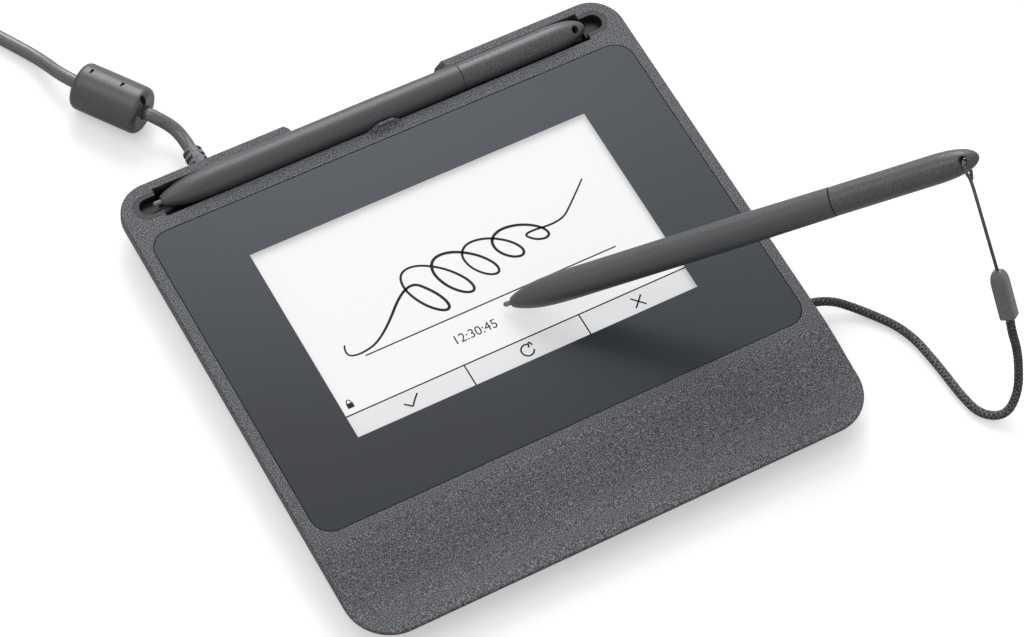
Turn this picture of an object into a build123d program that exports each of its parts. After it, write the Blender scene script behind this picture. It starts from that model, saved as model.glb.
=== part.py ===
from build123d import *
import math
import os

# A counter signature pad with its two pens, its pen tether and its data cable. Millimetres, +Z up.
# The origin is on the table, under the middle of the case. +X is the user's right, +Y the rear.

os.makedirs("parts", exist_ok=True)

# Case: overall sizes
body_width = 162.0
body_depth = 156.0
body_height = 11.2
foot_standoff = 1.0
parting_drop = 3.1
rear_corner_radius = 10.0
front_corner_radius = 13.4
top_edge_radius = 0.6
overrun = 5.0
bend_share = 0.45

# Case: walls
top_wall = 1.8
side_wall = 3.4
floor_wall = 1.8
parting_recess = 0.35
rim_width = 2.1
case_taper = 34.0
base_edge_radius = 1.2

# Palm rest
dish_depth = 2.4
dish_lip_depth = 2.0
dish_low_setback = 12.0
dish_margin = 0.5
palm_rib_width = 1.0
palm_rib_depth = 0.6
palm_rib_shares = (-0.74, -0.37, 0.0, 0.37, 0.74)

# Glass and display opening
glass_side_margin = 3.6
palm_rest_depth = 34.05
glass_thickness = 1.3
glass_corner_radius = 6.0
glass_setback = 16.85
glass_gap = 0.15
glass_edge_chamfer = 0.15
adhesive_thickness = 0.2
screen_side_margin = 23.4
screen_rear_margin = 17.6
screen_front_margin = 22.7
ledge_side_width = 8.9
ledge_end_width = 6.05
opening_corner_radius = 3.0
window_margin = 0.4
film_thickness = 0.1
part_gap = 0.1

# Display stack, from the film down
panel_side_margin = 6.0
panel_end_margin = 5.6
panel_thickness = 1.4
backlight_thickness = 1.8
frame_thickness = 0.3
sensor_side_margin = 3.0
sensor_end_margin = 4.0
sensor_thickness = 0.8
shield_thickness = 0.3

# Pen tray
tray_setback = 7.7
trough_end_margin = 12.1
trough_opening = 9.9
trough_radius = 4.7
trough_wall = 0.8
trough_rim_drop = 1.0
tray_end_margin = 4.4
tray_end_width = 7.9
tray_end_hollow_width = 5.6
tray_end_wall = 1.7
tray_end_floor = 0.4
liner_flange = 0.8
liner_gap = 0.1
liner_width = 10.6
liner_lap = 0.9
liner_corner = 3.0
notch_half_width = 26.0
notch_end_slope = 3.5
sill_height = 6.6
sill_lap = 2.0
lip_height = 2.0
lip_ramp_share = 0.25
lip_half_width = 5.15
lip_top_half_width = 2.4
lip_reach = 3.4
lip_top_width = 0.7
lip_clearance = 0.3
lip_offset = 0.35

# Fixings of the case
boss_diameter = 5.0
boss_wall_inset = 9.2
boss_rear_inset = 26.0
boss_middle_offset = 16.6
boss_front_inset = 16.0
boss_front_side_inset = 15.0
boss_foot_height = 4.3
boss_gap = 0.1
screw_diameter = 2.5
screw_length = 5.0
screw_head_diameter = 4.4
screw_head_height = 1.4
screw_recess = 1.6
screw_clearance = 0.1
screw_thread_gap = 0.05
drive_width = 1.6
drive_depth = 0.8
foot_diameter = 11.0
foot_thickness = 1.6
foot_gap = 0.2
foot_side_inset = 21.0
foot_end_inset = 22.0
rib_width = 1.2
cradle_shares = (-0.82, -0.42, 0.42, 0.82)
locating_rib_width = 0.7
locating_rib_height = 0.8
locating_rib_inset = 1.1
locating_gap = 0.1
side_rib_margin = 36.0
side_rib_y = 8.0
rear_rib_length = 15.0
rear_rib_inset = 42.0

# Main board
board_width = 96.0
board_depth = 38.0
board_thickness = 1.0
board_standoff = 1.0
board_front_setback = 8.0
board_hole_inset = 4.0
board_post_diameter = 4.5
board_screw_diameter = 2.0
board_screw_head = 3.6
board_screw_head_height = 1.0
board_screw_length = 2.2
chip_height = 1.2
large_chip = 10.0
small_chip = 7.0
crystal_length = 5.0
crystal_width = 3.2
large_chip_shares = (-0.125, 0.0)
small_chip_shares = (0.125, -0.125)
crystal_shares = (-0.25, -0.25)
coil_chip_shares = ((0.25, 0.0), (0.3333333, 0.0))
coil_chip = 4.0
connector_height = 1.1
display_connector_width = 21.0
sensor_connector_width = 12.0
connector_depth = 4.0
sensor_connector_setback = 6.0
header_width = 8.0
header_depth = 5.0
header_height = 2.4
flex_thickness = 0.3
flex_bend = 1.2
flex_level = 0.3
flex_hump = 1.2
flex_hump_bend = 0.6
flex_margin = 2.0
sensor_connector_x = 26.0
glue_margin = 1.0
frame_clearance = 0.2
frame_wall_height = 2.2
backlight_inset = 1.0
board_corner_radius = 2.0
foot_edge_radius = 0.3
header_inset = 1.0
support_rib_left = -46.0
support_rib_right = 58.0
support_rib_shares = (-0.5, 0.5)
header_offset = 5.0
header_lead_rise = 1.1

# Strain relief and data cable
cable_diameter = 4.0
relief_x = -51.2
relief_z = 4.9
relief_tip_y = 85.6
relief_base_diameter = 6.6
relief_tip_diameter = 5.7
relief_tip_radius = 0.8
relief_neck_width = 4.6
relief_neck_low = 3.3
relief_neck_high = 5.9
relief_flange_width = 8.6
relief_flange_low = 3.1
relief_flange_high = 5.5
relief_flange_depth = 1.0
relief_root = 1.6
relief_slot_width = 1.0
relief_slot_pitch = 2.1
relief_slot_count = 4
relief_tip_ring = 1.0
relief_web = 2.6
relief_core_diameter = 4.3
lead_diameter = 1.9

# Clip-on ferrite
ferrite_diameter = 14.2
ferrite_length = 21.6
ferrite_direction = 124.51
ferrite_lean = 2.92
ferrite_near_x = -58.17
ferrite_near_y = 101.07
ferrite_wall = 1.2
ferrite_end_wall = 1.5
ferrite_edge_radius = 2.0
ferrite_bore_clearance = 0.3
ferrite_core_gap = 0.1
ferrite_seam = 0.1
latch_slot_length = 0.9
latch_slot_width = 1.8
latch_slot_depth = 0.7
latch_slot_shares = (-0.139, 0.324)
latch_slot_tilt = -12.0
end_notch_width = 1.8
end_notch_depth = 4.0
end_notch_inset = 1.2
lid_hinge_offset = 0.3
lid_knuckle_radius = 0.8
lid_knuckle_gap = 0.1
lid_knuckle_length = 5.0
lid_pin_radius = 0.45
lid_pin_gap = 0.05
lid_pin_length = 2.0

# Coil of the put-away cable
coil_centre_x = -123.0
coil_centre_y = 184.0
coil_mean_radius = 23.5
coil_layers = 4
coil_turns_per_layer = 2.75
coil_turn_gap = 0.45
steps_per_turn = 4
climb_slope_share = 1.5
coil_entry_run = 15.0
coil_exit_run = 9.2
lay_gap = 0.05
gap_sample_step = 1.0
gap_sample_span = 20.0
ferrite_entry_run = 2.6
ferrite_exit_run = 4.75

# Data plug
plug_y = 230.0
plug_cable_x = -119.0
plug_body_length = 22.0
plug_body_width = 11.5
plug_body_height = 8.2
plug_body_radius = 1.6
plug_nose_length = 4.0
shell_length = 18.75
shell_width = 12.0
shell_height = 4.5
shell_wall = 0.3
shell_window = 2.2
tongue_width = 11.2
tongue_height = 1.8
tongue_recess = 0.8
contact_width = 1.0
contact_length = 7.5
contact_thickness = 0.2
contact_pitch = 2.5
contact_count = 4
contact_inset = 0.6
tongue_gap = 0.1
plug_nose_share = 0.78
shell_window_share = 0.42
anchor_edge_radius = 0.5

# Tether
tether_diameter = 2.6
tether_y = -37.3
tether_z = 5.3
anchor_reach = 80.2
anchor_diameter = 3.8
anchor_flange_width = 6.0
anchor_flange_height = 4.6
anchor_flange_depth = 1.0
thin_cord_diameter = 1.0
lock_width = 4.6
lock_thickness = 3.6
lock_side_share = 0.3
lock_end_radius = 0.8
lock_ridge = (-0.3, -0.4, 0.86)
knot_radius = 1.15
knot_drop = 5.3
loop_reach = 4.9
loop_shoulder_out = 3.7
loop_shoulder_drop = 3.7
loop_start = 0.45
loop_mouth_radius = 0.9
loop_shoulder_radius = 1.6

# Pens
pen_end_clearance = 6.6
pen_radius = 4.4
pen_rear_length = 42.0
pen_joint_gap = 0.2
pen_joint_radius = 4.2
pen_nose_distance = 2.6
pen_nose_radius = 1.45
pen_full_distance = 27.0
pen_taper_length = 28.0
nose_distance_shares = (0.14, 0.324, 0.59)
nose_radius_shares = (0.46, 0.797, 0.966)
nose_start_slope = 0.6
pen_rear_radius = 4.15
pen_shoulder_length = 7.0
pen_shoulder_radius = 4.1
pen_crown_length = 3.4
pen_crown_radius = 3.8
pen_end_radius = 2.2
pen_facet_start = 0.2
pen_facet_tilt = 38.0
pen_wall = 0.6
pen_bore_radius = 3.2
pen_nose_bore_radius = 1.1
pen_coil_bore_radius = 2.45
pen_coil_bore_start = 7.0
pen_bore_start = 21.0
pen_spigot_length = 8.0
pen_spigot_gap = 0.05
pen_rear_solid_length = 12.0
eyelet_inset = 4.0
eyelet_radius = 1.3
eyelet_flare = 0.4
nib_radius = 0.75
nib_length = 22.0
nib_travel = 0.4
nib_stop_gap = 0.1
coil_core_start = 8.0
coil_core_length = 12.0
coil_core_radius = 1.7
coil_core_bore = 1.05
coil_core_flange = 1.0
coil_winding_length = 8.0
coil_winding_radius = 2.35
pen_sensor_length = 7.0
pen_sensor_radius = 2.8
chassis_radius = 3.15
chassis_share = 0.414
chassis_flat = 0.5
pen_board_width = 4.8
pen_board_thickness = 0.8
pen_board_share = 0.93

# Writing pose of the tethered pen
writing_tip_x = 1.8
writing_tip_y = -2.45
writing_heading = -22.96
nib_rest_gap = 0.1
writing_lean = 28.16
spare_tip_clearance = 5.8
eyelet_turn = 30.0

# Routes of the free cords. The table is at zero, and a cord that lies on it has its axis at its radius.
cable_before_ferrite = [
    (relief_x, relief_tip_y, relief_z),
    (-51.2, 89.8, 4.9),
    (-52.6, 94.5, 6.1),
]
cable_after_ferrite = [
    (-75.6, 133.8, 3.0),
    (-80.4, 143.0, 2.05),
    (-88.6, 156.4, 2.05),
]
cable_after_coil = [
    (-92.2, 207.3, 11.6),
    (-94.2, 216.8, 6.6),
    (-100.2, 225.2, 3.6),
    (-109.2, 230.0, 4.1),
]
tether_route = [
    (anchor_reach, tether_y, tether_z),
    (87.4, -37.3, 5.3),
    (96.8, -44.6, 1.35),
    (104.6, -56.0, 1.35),
    (106.4, -69.6, 1.35),
    (107.0, -81.0, 1.35),
    (108.9, -88.9, 1.35),
    (115.4, -92.9, 2.2),
    (121.6, -90.4, 6.8),
    (123.0, -85.4, 14.4),
    (121.6, -82.8, 21.0),
]
lock_bottom = (118.65, -77.15, 30.7)
lock_top = (119.5, -68.15, 41.7)
lock_entry_run = 4.6
lock_entry_gap = 0.2

# Route of the wires inside the case, between the strain relief and the header
lead_route = [
    (-51.2, 52.0, 4.05),
    (-53.2, 30.0, 4.05),
    (-55.2, 4.0, 4.05),
    (-56.4, -18.0, 4.05),
]
lead_sweep = [(-9.5, 15.0, 4.15), (-8.6, 6.0, 5.0), (-5.6, 0.0, 5.9)]

# Levels and places worked out from the sizes above
top_z = body_height
parting_z = top_z - parting_drop
floor_z = foot_standoff + floor_wall
glass_bottom_z = top_z - glass_thickness
ledge_z = glass_bottom_z - adhesive_thickness
flange_top_z = top_z - top_wall
glass_width = body_width - 2 * glass_side_margin
glass_depth = body_depth - glass_setback - palm_rest_depth
screen_width = glass_width - 2 * screen_side_margin
screen_depth = glass_depth - screen_rear_margin - screen_front_margin
opening_width = glass_width - 2 * ledge_side_width
opening_depth = glass_depth - 2 * ledge_end_width
panel_width = screen_width + 2 * panel_side_margin
panel_depth = screen_depth + 2 * panel_end_margin
backlight_width = panel_width - 2 * backlight_inset
backlight_depth = panel_depth - 2 * backlight_inset
sensor_width = panel_width + 2 * sensor_side_margin
sensor_depth = panel_depth + 2 * sensor_end_margin
glass_centre_y = body_depth / 2 - glass_setback - glass_depth / 2
glass_front_y = glass_centre_y - glass_depth / 2
glass_rear_y = glass_centre_y + glass_depth / 2
screen_centre_y = glass_rear_y - screen_rear_margin - screen_depth / 2
film_z = glass_bottom_z - film_thickness
panel_z = film_z - panel_thickness
backlight_z = panel_z - backlight_thickness
frame_z = backlight_z - frame_thickness
sensor_z = frame_z - sensor_thickness
shield_z = sensor_z - shield_thickness
panel_front_y = screen_centre_y - panel_depth / 2
sensor_front_y = screen_centre_y - sensor_depth / 2
tray_y = body_depth / 2 - tray_setback
trough_half_length = body_width / 2 - trough_end_margin
tray_end_reach = body_width / 2 - tray_end_margin
pen_length = 2 * (tray_end_reach - pen_end_clearance)
pen_joint_distance = pen_length - pen_rear_length
pen_taper_distance = pen_joint_distance - pen_taper_length
pen_shoulder_distance = pen_length - pen_shoulder_length
pen_crown_distance = pen_length - pen_crown_length
pen_rear_bore_end = pen_length - pen_rear_solid_length
eyelet_distance = pen_length - eyelet_inset
chassis_length = pen_length * chassis_share
pen_board_length = chassis_length * pen_board_share
spare_tip_x = spare_tip_clearance - tray_end_reach
inner_width = body_width - 2 * side_wall
palm_front_y = -body_depth / 2 + side_wall
palm_rear_y = glass_front_y - side_wall
taper_ratio = math.tan(math.radians(case_taper))
wall_inset_at_floor = parting_recess + (parting_z - relief_flange_low) * taper_ratio
board_z = floor_z + board_standoff
board_top_z = board_z + board_thickness
board_y = -body_depth / 2 + board_front_setback + board_depth / 2
board_rear_y = board_y + board_depth / 2
header_y = board_y + header_offset
flex_reach = panel_front_y - board_rear_y + connector_depth / 2
top_boss_foot_z = boss_foot_height + boss_gap
screw_seat_z = foot_standoff + screw_recess
boss_side_x = body_width / 2 - boss_wall_inset
boss_front_x = body_width / 2 - boss_front_side_inset
boss_rear_y = body_depth / 2 - boss_rear_inset
boss_middle_y = glass_centre_y - boss_middle_offset
boss_front_y = boss_front_inset - body_depth / 2
foot_x = body_width / 2 - foot_side_inset
foot_y = body_depth / 2 - foot_end_inset
boss_spots = ((boss_side_x, boss_rear_y), (boss_side_x, boss_middle_y), (boss_front_x, boss_front_y))
boss_places = [(side * x, y) for side in (-1, 1) for x, y in boss_spots]
foot_places = [(side * foot_x, end * foot_y) for side in (-1, 1) for end in (-1, 1)]
board_hole_x = board_width / 2 - board_hole_inset
board_hole_y = board_depth / 2 - board_hole_inset
corner_sides = ((-1, -1), (-1, 1), (1, -1), (1, 1))
board_hole_places = [(side * board_hole_x, board_y + end * board_hole_y) for side, end in corner_sides]
cable_radius = cable_diameter / 2
ferrite_radius = ferrite_diameter / 2
turn_pitch = cable_diameter + coil_turn_gap
liner_length = 2 * (tray_end_reach + liner_lap)
groove_x = body_width / 2 - locating_rib_inset - locating_rib_width / 2
groove_y = body_depth / 2 - locating_rib_inset - locating_rib_width / 2
side_rib_length = body_depth - 2 * side_rib_margin
rear_rib_x = body_width / 2 - rear_rib_inset
relief_flange_y = body_depth / 2 - wall_inset_at_floor - rim_width - part_gap
relief_body_y = relief_flange_y + rim_width + relief_root
under_case = Plane((0, 0, foot_standoff), x_dir=(1, 0, 0), z_dir=(0, 0, -1))


def finish(builder, label):
    """Label a finished piece and write its file."""
    builder.part.label = label
    export_step(builder.part, f"parts/{label}.step")


def case_outline(height, inset):
    """The plan of the case at one height, drawn in all round by an inset."""
    with BuildSketch(Plane.XY.offset(height)) as plan:
        Rectangle(body_width - 2 * inset, body_depth - 2 * inset)
        fillet(plan.vertices().group_by(Axis.Y)[-1], rear_corner_radius - inset)
        fillet(plan.vertices().group_by(Axis.Y)[0], front_corner_radius - inset)
    return plan.sketch


def wall_inset(height):
    """How far the tapered outer wall lies inside the plan of the case at one height."""
    return parting_recess + (parting_z - height) * taper_ratio


def palm_curve(drop, front_y):
    """The palm rest in side view, lowered by drop, from the glass to front_y."""
    return Spline(
        (glass_front_y - dish_margin, top_z - drop),
        (-body_depth / 2 + dish_low_setback, top_z - dish_depth - drop),
        (front_y, top_z - dish_lip_depth - drop),
        tangents=((-1, 0), (-1, 0)),
    )


def is_top_rim(edge):
    """True for an edge that runs along the plan of the case above its widest line."""
    middle = edge.position_at(0.5)
    start, end = edge.position_at(0), edge.position_at(1)
    on_plan = plan_wire.distance_to(Vertex(middle.X, middle.Y, 0)) < part_gap
    level = math.hypot(end.X - start.X, end.Y - start.Y) > part_gap
    return on_plan and level and middle.Z > parting_z + part_gap


plan_wire = case_outline(0, 0).wire()

# Palm plate: the dished wall of the top cover, with the ribs under it
with BuildPart() as palm_plate:
    with BuildSketch(Plane.YZ):
        with BuildLine():
            under = palm_curve(top_wall, palm_front_y)
            Polyline(
                under @ 1,
                (palm_front_y, top_z),
                (glass_front_y, top_z),
                (glass_front_y, top_z - top_wall),
                under @ 0,
            )
        make_face()
    extrude(amount=inner_width / 2, both=True)
    with BuildSketch(*[Plane.YZ.offset(share * inner_width / 2) for share in palm_rib_shares]):
        with BuildLine():
            middle = palm_curve(top_wall / 2, palm_front_y)
            rib_low_z = top_z - dish_depth - top_wall - palm_rib_depth
            rib_front_y = palm_front_y + palm_rib_width
            Polyline(middle @ 1, (rib_front_y, rib_low_z), (palm_rear_y, rib_low_z), middle @ 0)
        make_face()
    extrude(amount=palm_rib_width / 2, both=True)
    extrude(case_outline(floor_z, side_wall), amount=body_height, mode=Mode.INTERSECT)

# Retaining lip: the raised tab that keeps the stored pen in its tray
with BuildPart() as retaining_lip:
    land_edge_y = tray_y - trough_opening / 2
    lip_face_y = tray_y - pen_radius - lip_clearance
    lip_top_z = top_z + lip_height
    lip_front_y = land_edge_y - lip_reach
    with BuildSketch(Plane.YZ.offset(lip_offset)):
        with BuildLine():
            ramp_middle = ((lip_front_y + lip_face_y) / 2, top_z + lip_height * lip_ramp_share)
            ThreePointArc((lip_front_y, top_z), ramp_middle, (lip_face_y - lip_top_width, lip_top_z))
            Line((lip_face_y - lip_top_width, lip_top_z), (lip_face_y, lip_top_z))
            Polyline(
                (lip_face_y, lip_top_z),
                (lip_face_y, top_z - trough_rim_drop + liner_gap),
                (land_edge_y, top_z - trough_rim_drop + liner_gap),
                (land_edge_y, top_z - top_wall),
                (lip_front_y, top_z - top_wall),
                (lip_front_y, top_z),
            )
        make_face()
    extrude(amount=lip_half_width, both=True)
    with BuildSketch(Plane.XZ):
        with BuildLine():
            Polyline(
                (lip_offset - lip_half_width, top_z - top_wall),
                (lip_offset - lip_half_width, top_z),
                (lip_offset - lip_top_half_width, lip_top_z),
                (lip_offset + lip_top_half_width, lip_top_z),
                (lip_offset + lip_half_width, top_z),
                (lip_offset + lip_half_width, top_z - top_wall),
                close=True,
            )
        make_face()
    extrude(amount=-body_depth, mode=Mode.INTERSECT)
    fillet(retaining_lip.edges().filter_by(Axis.Y).group_by(Axis.Z)[-1], lip_top_width / 2)

# Rear notch: the slanted cut-out that lets two fingers lift the stored pen from behind
with BuildPart() as rear_notch:
    with BuildSketch(Plane.XZ.offset(-tray_y)):
        with BuildLine():
            Polyline(
                (-notch_half_width - notch_end_slope, top_z + (top_z - sill_height)),
                (-notch_half_width + notch_end_slope, sill_height),
                (notch_half_width - notch_end_slope, sill_height),
                (notch_half_width + notch_end_slope, top_z + (top_z - sill_height)),
                close=True,
            )
        make_face()
    extrude(amount=-(tray_setback + overrun))

# Top cover: a moulded shell with the palm rest, the glass pocket and the tray opening
with BuildPart() as top_cover:
    extrude(case_outline(parting_z, 0), amount=parting_drop)
    with BuildSketch(Plane.XY.offset(parting_z)):
        add(case_outline(0, side_wall))
        with Locations((0, (palm_front_y + palm_rear_y) / 2)):
            Rectangle(body_width, palm_rear_y - palm_front_y, mode=Mode.INTERSECT)
    extrude(amount=parting_drop, mode=Mode.SUBTRACT)
    add(palm_plate.part)
    with BuildSketch(Plane.YZ):
        with BuildLine():
            dish = palm_curve(0, -body_depth / 2 - overrun)
            high = top_z + overrun
            Polyline(
                dish @ 1,
                (-body_depth / 2 - overrun, high),
                (glass_front_y - dish_margin, high),
                dish @ 0,
            )
        make_face()
    extrude(amount=body_width, both=True, mode=Mode.SUBTRACT)
    fillet(top_cover.edges().filter_by(is_top_rim), top_edge_radius)
    with BuildSketch(Plane.XY.offset(top_z)):
        with Locations((0, glass_centre_y)):
            RectangleRounded(
                glass_width + 2 * glass_gap,
                glass_depth + 2 * glass_gap,
                glass_corner_radius + glass_gap,
            )
    extrude(amount=ledge_z - top_z, mode=Mode.SUBTRACT)
    with BuildSketch(Plane.XY.offset(top_z)):
        with Locations((0, glass_centre_y)):
            RectangleRounded(opening_width, opening_depth, opening_corner_radius)
    extrude(amount=-parting_drop - overrun, mode=Mode.SUBTRACT)
    with BuildSketch(Plane.XY.offset(parting_z)):
        with Locations((0, tray_y)):
            RectangleRounded(
                liner_length + 2 * liner_gap,
                liner_width + 2 * liner_gap,
                liner_corner + liner_gap,
            )
    extrude(amount=flange_top_z - parting_z, mode=Mode.SUBTRACT)
    with BuildSketch(Plane.YZ):
        with Locations((tray_y, top_z)):
            Circle(trough_radius + trough_wall + liner_gap)
        with Locations((tray_y, flange_top_z + body_height / 2)):
            Rectangle(body_height, body_height, mode=Mode.SUBTRACT)
    extrude(amount=trough_half_length + trough_wall + liner_gap, both=True, mode=Mode.SUBTRACT)
    with BuildSketch(Plane.XY.offset(top_z)):
        with Locations((0, tray_y)):
            Rectangle(2 * trough_half_length, trough_opening)
            SlotOverall(2 * tray_end_reach, tray_end_width)
    extrude(amount=-top_wall, mode=Mode.SUBTRACT)
    add(retaining_lip.part)
    add(rear_notch.part, mode=Mode.SUBTRACT)
    with BuildSketch(Plane.XZ.offset(-relief_body_y + part_gap)):
        with Locations((relief_x, relief_z)):
            Circle(relief_base_diameter / 2 + part_gap)
    extrude(amount=-tray_setback, mode=Mode.SUBTRACT)
    with BuildSketch(Plane.XY.offset(parting_z)):
        with Locations((-groove_x, side_rib_y), (groove_x, side_rib_y)):
            Rectangle(locating_rib_width + 2 * locating_gap, side_rib_length + 2 * locating_gap)
        with Locations((-rear_rib_x, groove_y), (rear_rib_x, groove_y)):
            Rectangle(rear_rib_length + 2 * locating_gap, locating_rib_width + 2 * locating_gap)
    extrude(amount=locating_rib_height + locating_gap, mode=Mode.SUBTRACT)
    with BuildSketch(Plane.XY.offset(top_boss_foot_z)):
        with Locations(*boss_places):
            Circle(boss_diameter / 2)
    extrude(amount=parting_z + part_gap - top_boss_foot_z)
    with BuildSketch(Plane.XY.offset(top_boss_foot_z)):
        with Locations(*boss_places):
            Circle(screw_diameter / 2 + screw_thread_gap)
    extrude(amount=screw_seat_z + screw_length + screw_clearance - top_boss_foot_z, mode=Mode.SUBTRACT)
finish(top_cover, "top_cover")

# Bottom cover: a tub with tapered walls, screw bosses, ribs, posts and pockets for the feet
with BuildPart() as bottom_cover:
    extrude(case_outline(parting_z, parting_recess), amount=foot_standoff - parting_z, taper=case_taper)
    fillet(bottom_cover.edges().group_by(Axis.Z)[0], base_edge_radius)
    extrude(
        case_outline(parting_z, parting_recess + rim_width),
        amount=floor_z - parting_z,
        taper=case_taper,
        mode=Mode.SUBTRACT,
    )
    with BuildSketch(Plane.XY.offset(floor_z)):
        with Locations(*boss_places):
            Circle(boss_diameter / 2)
    extrude(amount=boss_foot_height - floor_z)
    with BuildSketch(Plane.XY.offset(floor_z)):
        with Locations(*board_hole_places):
            Circle(board_post_diameter / 2)
    extrude(amount=board_standoff)
    with BuildSketch(Plane.XY.offset(floor_z)):
        rib_places = [screen_centre_y + share * sensor_depth / 2 for share in support_rib_shares]
        with Locations(*[((support_rib_left + support_rib_right) / 2, y) for y in rib_places]):
            Rectangle(support_rib_right - support_rib_left, rib_width)
    extrude(amount=shield_z - floor_z)
    with BuildSketch(*[Plane.YZ.offset(share * trough_half_length) for share in cradle_shares]):
        with Locations((tray_y, (floor_z + parting_z) / 2)):
            Rectangle(2 * (trough_radius - 2 * trough_wall), parting_z - floor_z)
        with Locations((tray_y, top_z)):
            Circle(trough_radius + trough_wall + liner_gap, mode=Mode.SUBTRACT)
    extrude(amount=rib_width / 2, both=True)
    with BuildSketch(Plane.XY.offset(parting_z)):
        with Locations((-groove_x, side_rib_y), (groove_x, side_rib_y)):
            Rectangle(locating_rib_width, side_rib_length)
        with Locations((-rear_rib_x, groove_y), (rear_rib_x, groove_y)):
            Rectangle(rear_rib_length, locating_rib_width)
    extrude(amount=locating_rib_height)
    add(rear_notch.part, mode=Mode.SUBTRACT)
    with BuildSketch(under_case):
        with Locations(*foot_places):
            Circle(foot_diameter / 2 + foot_gap)
    extrude(amount=foot_standoff - foot_thickness, mode=Mode.SUBTRACT)
    with Locations(under_case):
        with Locations(*[(x, -y) for x, y in boss_places]):
            CounterBoreHole(
                screw_diameter / 2 + screw_clearance,
                screw_head_diameter / 2 + screw_clearance,
                screw_recess,
                boss_foot_height,
            )
    with BuildSketch(Plane.XY.offset(board_z)):
        with Locations(*board_hole_places):
            Circle(board_screw_diameter / 2 + screw_thread_gap)
    extrude(amount=board_top_z - board_screw_length - screw_clearance - board_z, mode=Mode.SUBTRACT)
    with BuildSketch(Plane.XZ.offset(-relief_flange_y)):
        with Locations((relief_x, relief_neck_low + body_height / 2)):
            Rectangle(relief_neck_width + 2 * part_gap, body_height)
    extrude(amount=-tray_setback, mode=Mode.SUBTRACT)
    with BuildSketch(Plane.XZ.offset(-relief_body_y + part_gap)):
        with Locations((relief_x, relief_z)):
            Circle(relief_base_diameter / 2 + part_gap)
            with Locations((0, body_height / 2)):
                Rectangle(relief_base_diameter + 2 * part_gap, body_height)
    extrude(amount=-tray_setback, mode=Mode.SUBTRACT)
    with BuildSketch(Plane.YZ.offset(body_width / 2 - side_wall - overrun)):
        with Locations((tether_y, tether_z)):
            Circle(anchor_diameter / 2 + part_gap)
    extrude(amount=2 * overrun, mode=Mode.SUBTRACT)
finish(bottom_cover, "bottom_cover")

# Pen tray liner: the dark trough that the stored pen lies in, with a rimmed pocket at each end
with BuildPart() as pen_tray_liner:
    with BuildSketch(Plane.XY.offset(flange_top_z)):
        with Locations((0, tray_y)):
            RectangleRounded(liner_length, liner_width, liner_corner)
    extrude(amount=-liner_flange)
    with BuildSketch(Plane.YZ):
        with Locations((tray_y, top_z)):
            Circle(trough_radius + trough_wall)
        with Locations((tray_y, flange_top_z + body_height / 2)):
            Rectangle(body_height, body_height, mode=Mode.SUBTRACT)
    extrude(amount=trough_half_length + trough_wall, both=True)
    with BuildSketch(Plane.YZ):
        with Locations((tray_y, top_z - trough_rim_drop)):
            Rectangle(trough_opening - 2 * liner_gap, 2 * liner_flange, align=(Align.CENTER, Align.MAX))
    extrude(amount=trough_half_length - liner_gap, both=True)
    with BuildSketch(Plane.XY.offset(parting_z + liner_gap)):
        with Locations((0, tray_y)):
            SlotOverall(2 * (tray_end_reach - liner_gap), tray_end_width - 2 * liner_gap)
    extrude(amount=top_z - parting_z - liner_gap)
    with BuildSketch(Plane.XY.offset(sill_height)):
        with Locations((0, tray_y)):
            Rectangle(
                2 * (notch_half_width - notch_end_slope),
                tray_setback - rim_width - sill_lap,
                align=(Align.CENTER, Align.MIN),
            )
    extrude(amount=-trough_wall)
    with BuildSketch(Plane.YZ):
        with Locations((tray_y, top_z)):
            Circle(trough_radius)
    extrude(amount=trough_half_length, both=True, mode=Mode.SUBTRACT)
    with BuildSketch(Plane.XY.offset(parting_z + liner_gap + tray_end_floor)):
        with Locations((0, tray_y)):
            SlotOverall(2 * (tray_end_reach - tray_end_wall), tray_end_hollow_width)
    extrude(amount=top_z - parting_z, mode=Mode.SUBTRACT)
    add(rear_notch.part, mode=Mode.SUBTRACT)
finish(pen_tray_liner, "pen_tray_liner")


def plate(label, width, depth, low, high, corner, centre_y, hole=None):
    """A flat rounded plate between two levels, with a rounded window where hole gives its size."""
    with BuildPart() as sheet:
        with BuildSketch(Plane.XY.offset(low)):
            with Locations((0, centre_y)):
                RectangleRounded(width, depth, corner)
                if hole:
                    with Locations((0, hole[2])):
                        RectangleRounded(hole[0], hole[1], opening_corner_radius, mode=Mode.SUBTRACT)
        extrude(amount=high - low)
    finish(sheet, label)


# Cover glass, and what lies under it down to the shield
with BuildPart() as cover_glass:
    with BuildSketch(Plane.XY.offset(glass_bottom_z)):
        with Locations((0, glass_centre_y)):
            RectangleRounded(glass_width, glass_depth, glass_corner_radius)
    extrude(amount=glass_thickness)
    chamfer(cover_glass.edges().group_by(Axis.Z)[-1], glass_edge_chamfer)
finish(cover_glass, "cover_glass")
glue_width = glass_width - 2 * glue_margin
glue_depth = glass_depth - 2 * glue_margin
glue_hole = (opening_width, opening_depth, 0)
glue_corner = glass_corner_radius - glue_margin
plate(
    "glass_adhesive", glue_width, glue_depth, ledge_z, glass_bottom_z,
    glue_corner, glass_centre_y, glue_hole,
)
film_hole = (
    screen_width + 2 * window_margin,
    screen_depth + 2 * window_margin,
    screen_centre_y - glass_centre_y,
)
film_width = opening_width - 2 * part_gap
film_depth = opening_depth - 2 * part_gap
plate(
    "window_mask", film_width, film_depth, film_z, glass_bottom_z,
    opening_corner_radius, glass_centre_y, film_hole,
)
plate("lcd_panel", panel_width, panel_depth, panel_z, film_z, part_gap, screen_centre_y)
plate("backlight_unit", backlight_width, backlight_depth, backlight_z, panel_z, part_gap, screen_centre_y)
plate("sensor_board", sensor_width, sensor_depth, sensor_z, frame_z, board_corner_radius, screen_centre_y)
plate("shield_plate", sensor_width, sensor_depth, shield_z, sensor_z, board_corner_radius, screen_centre_y)
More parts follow.
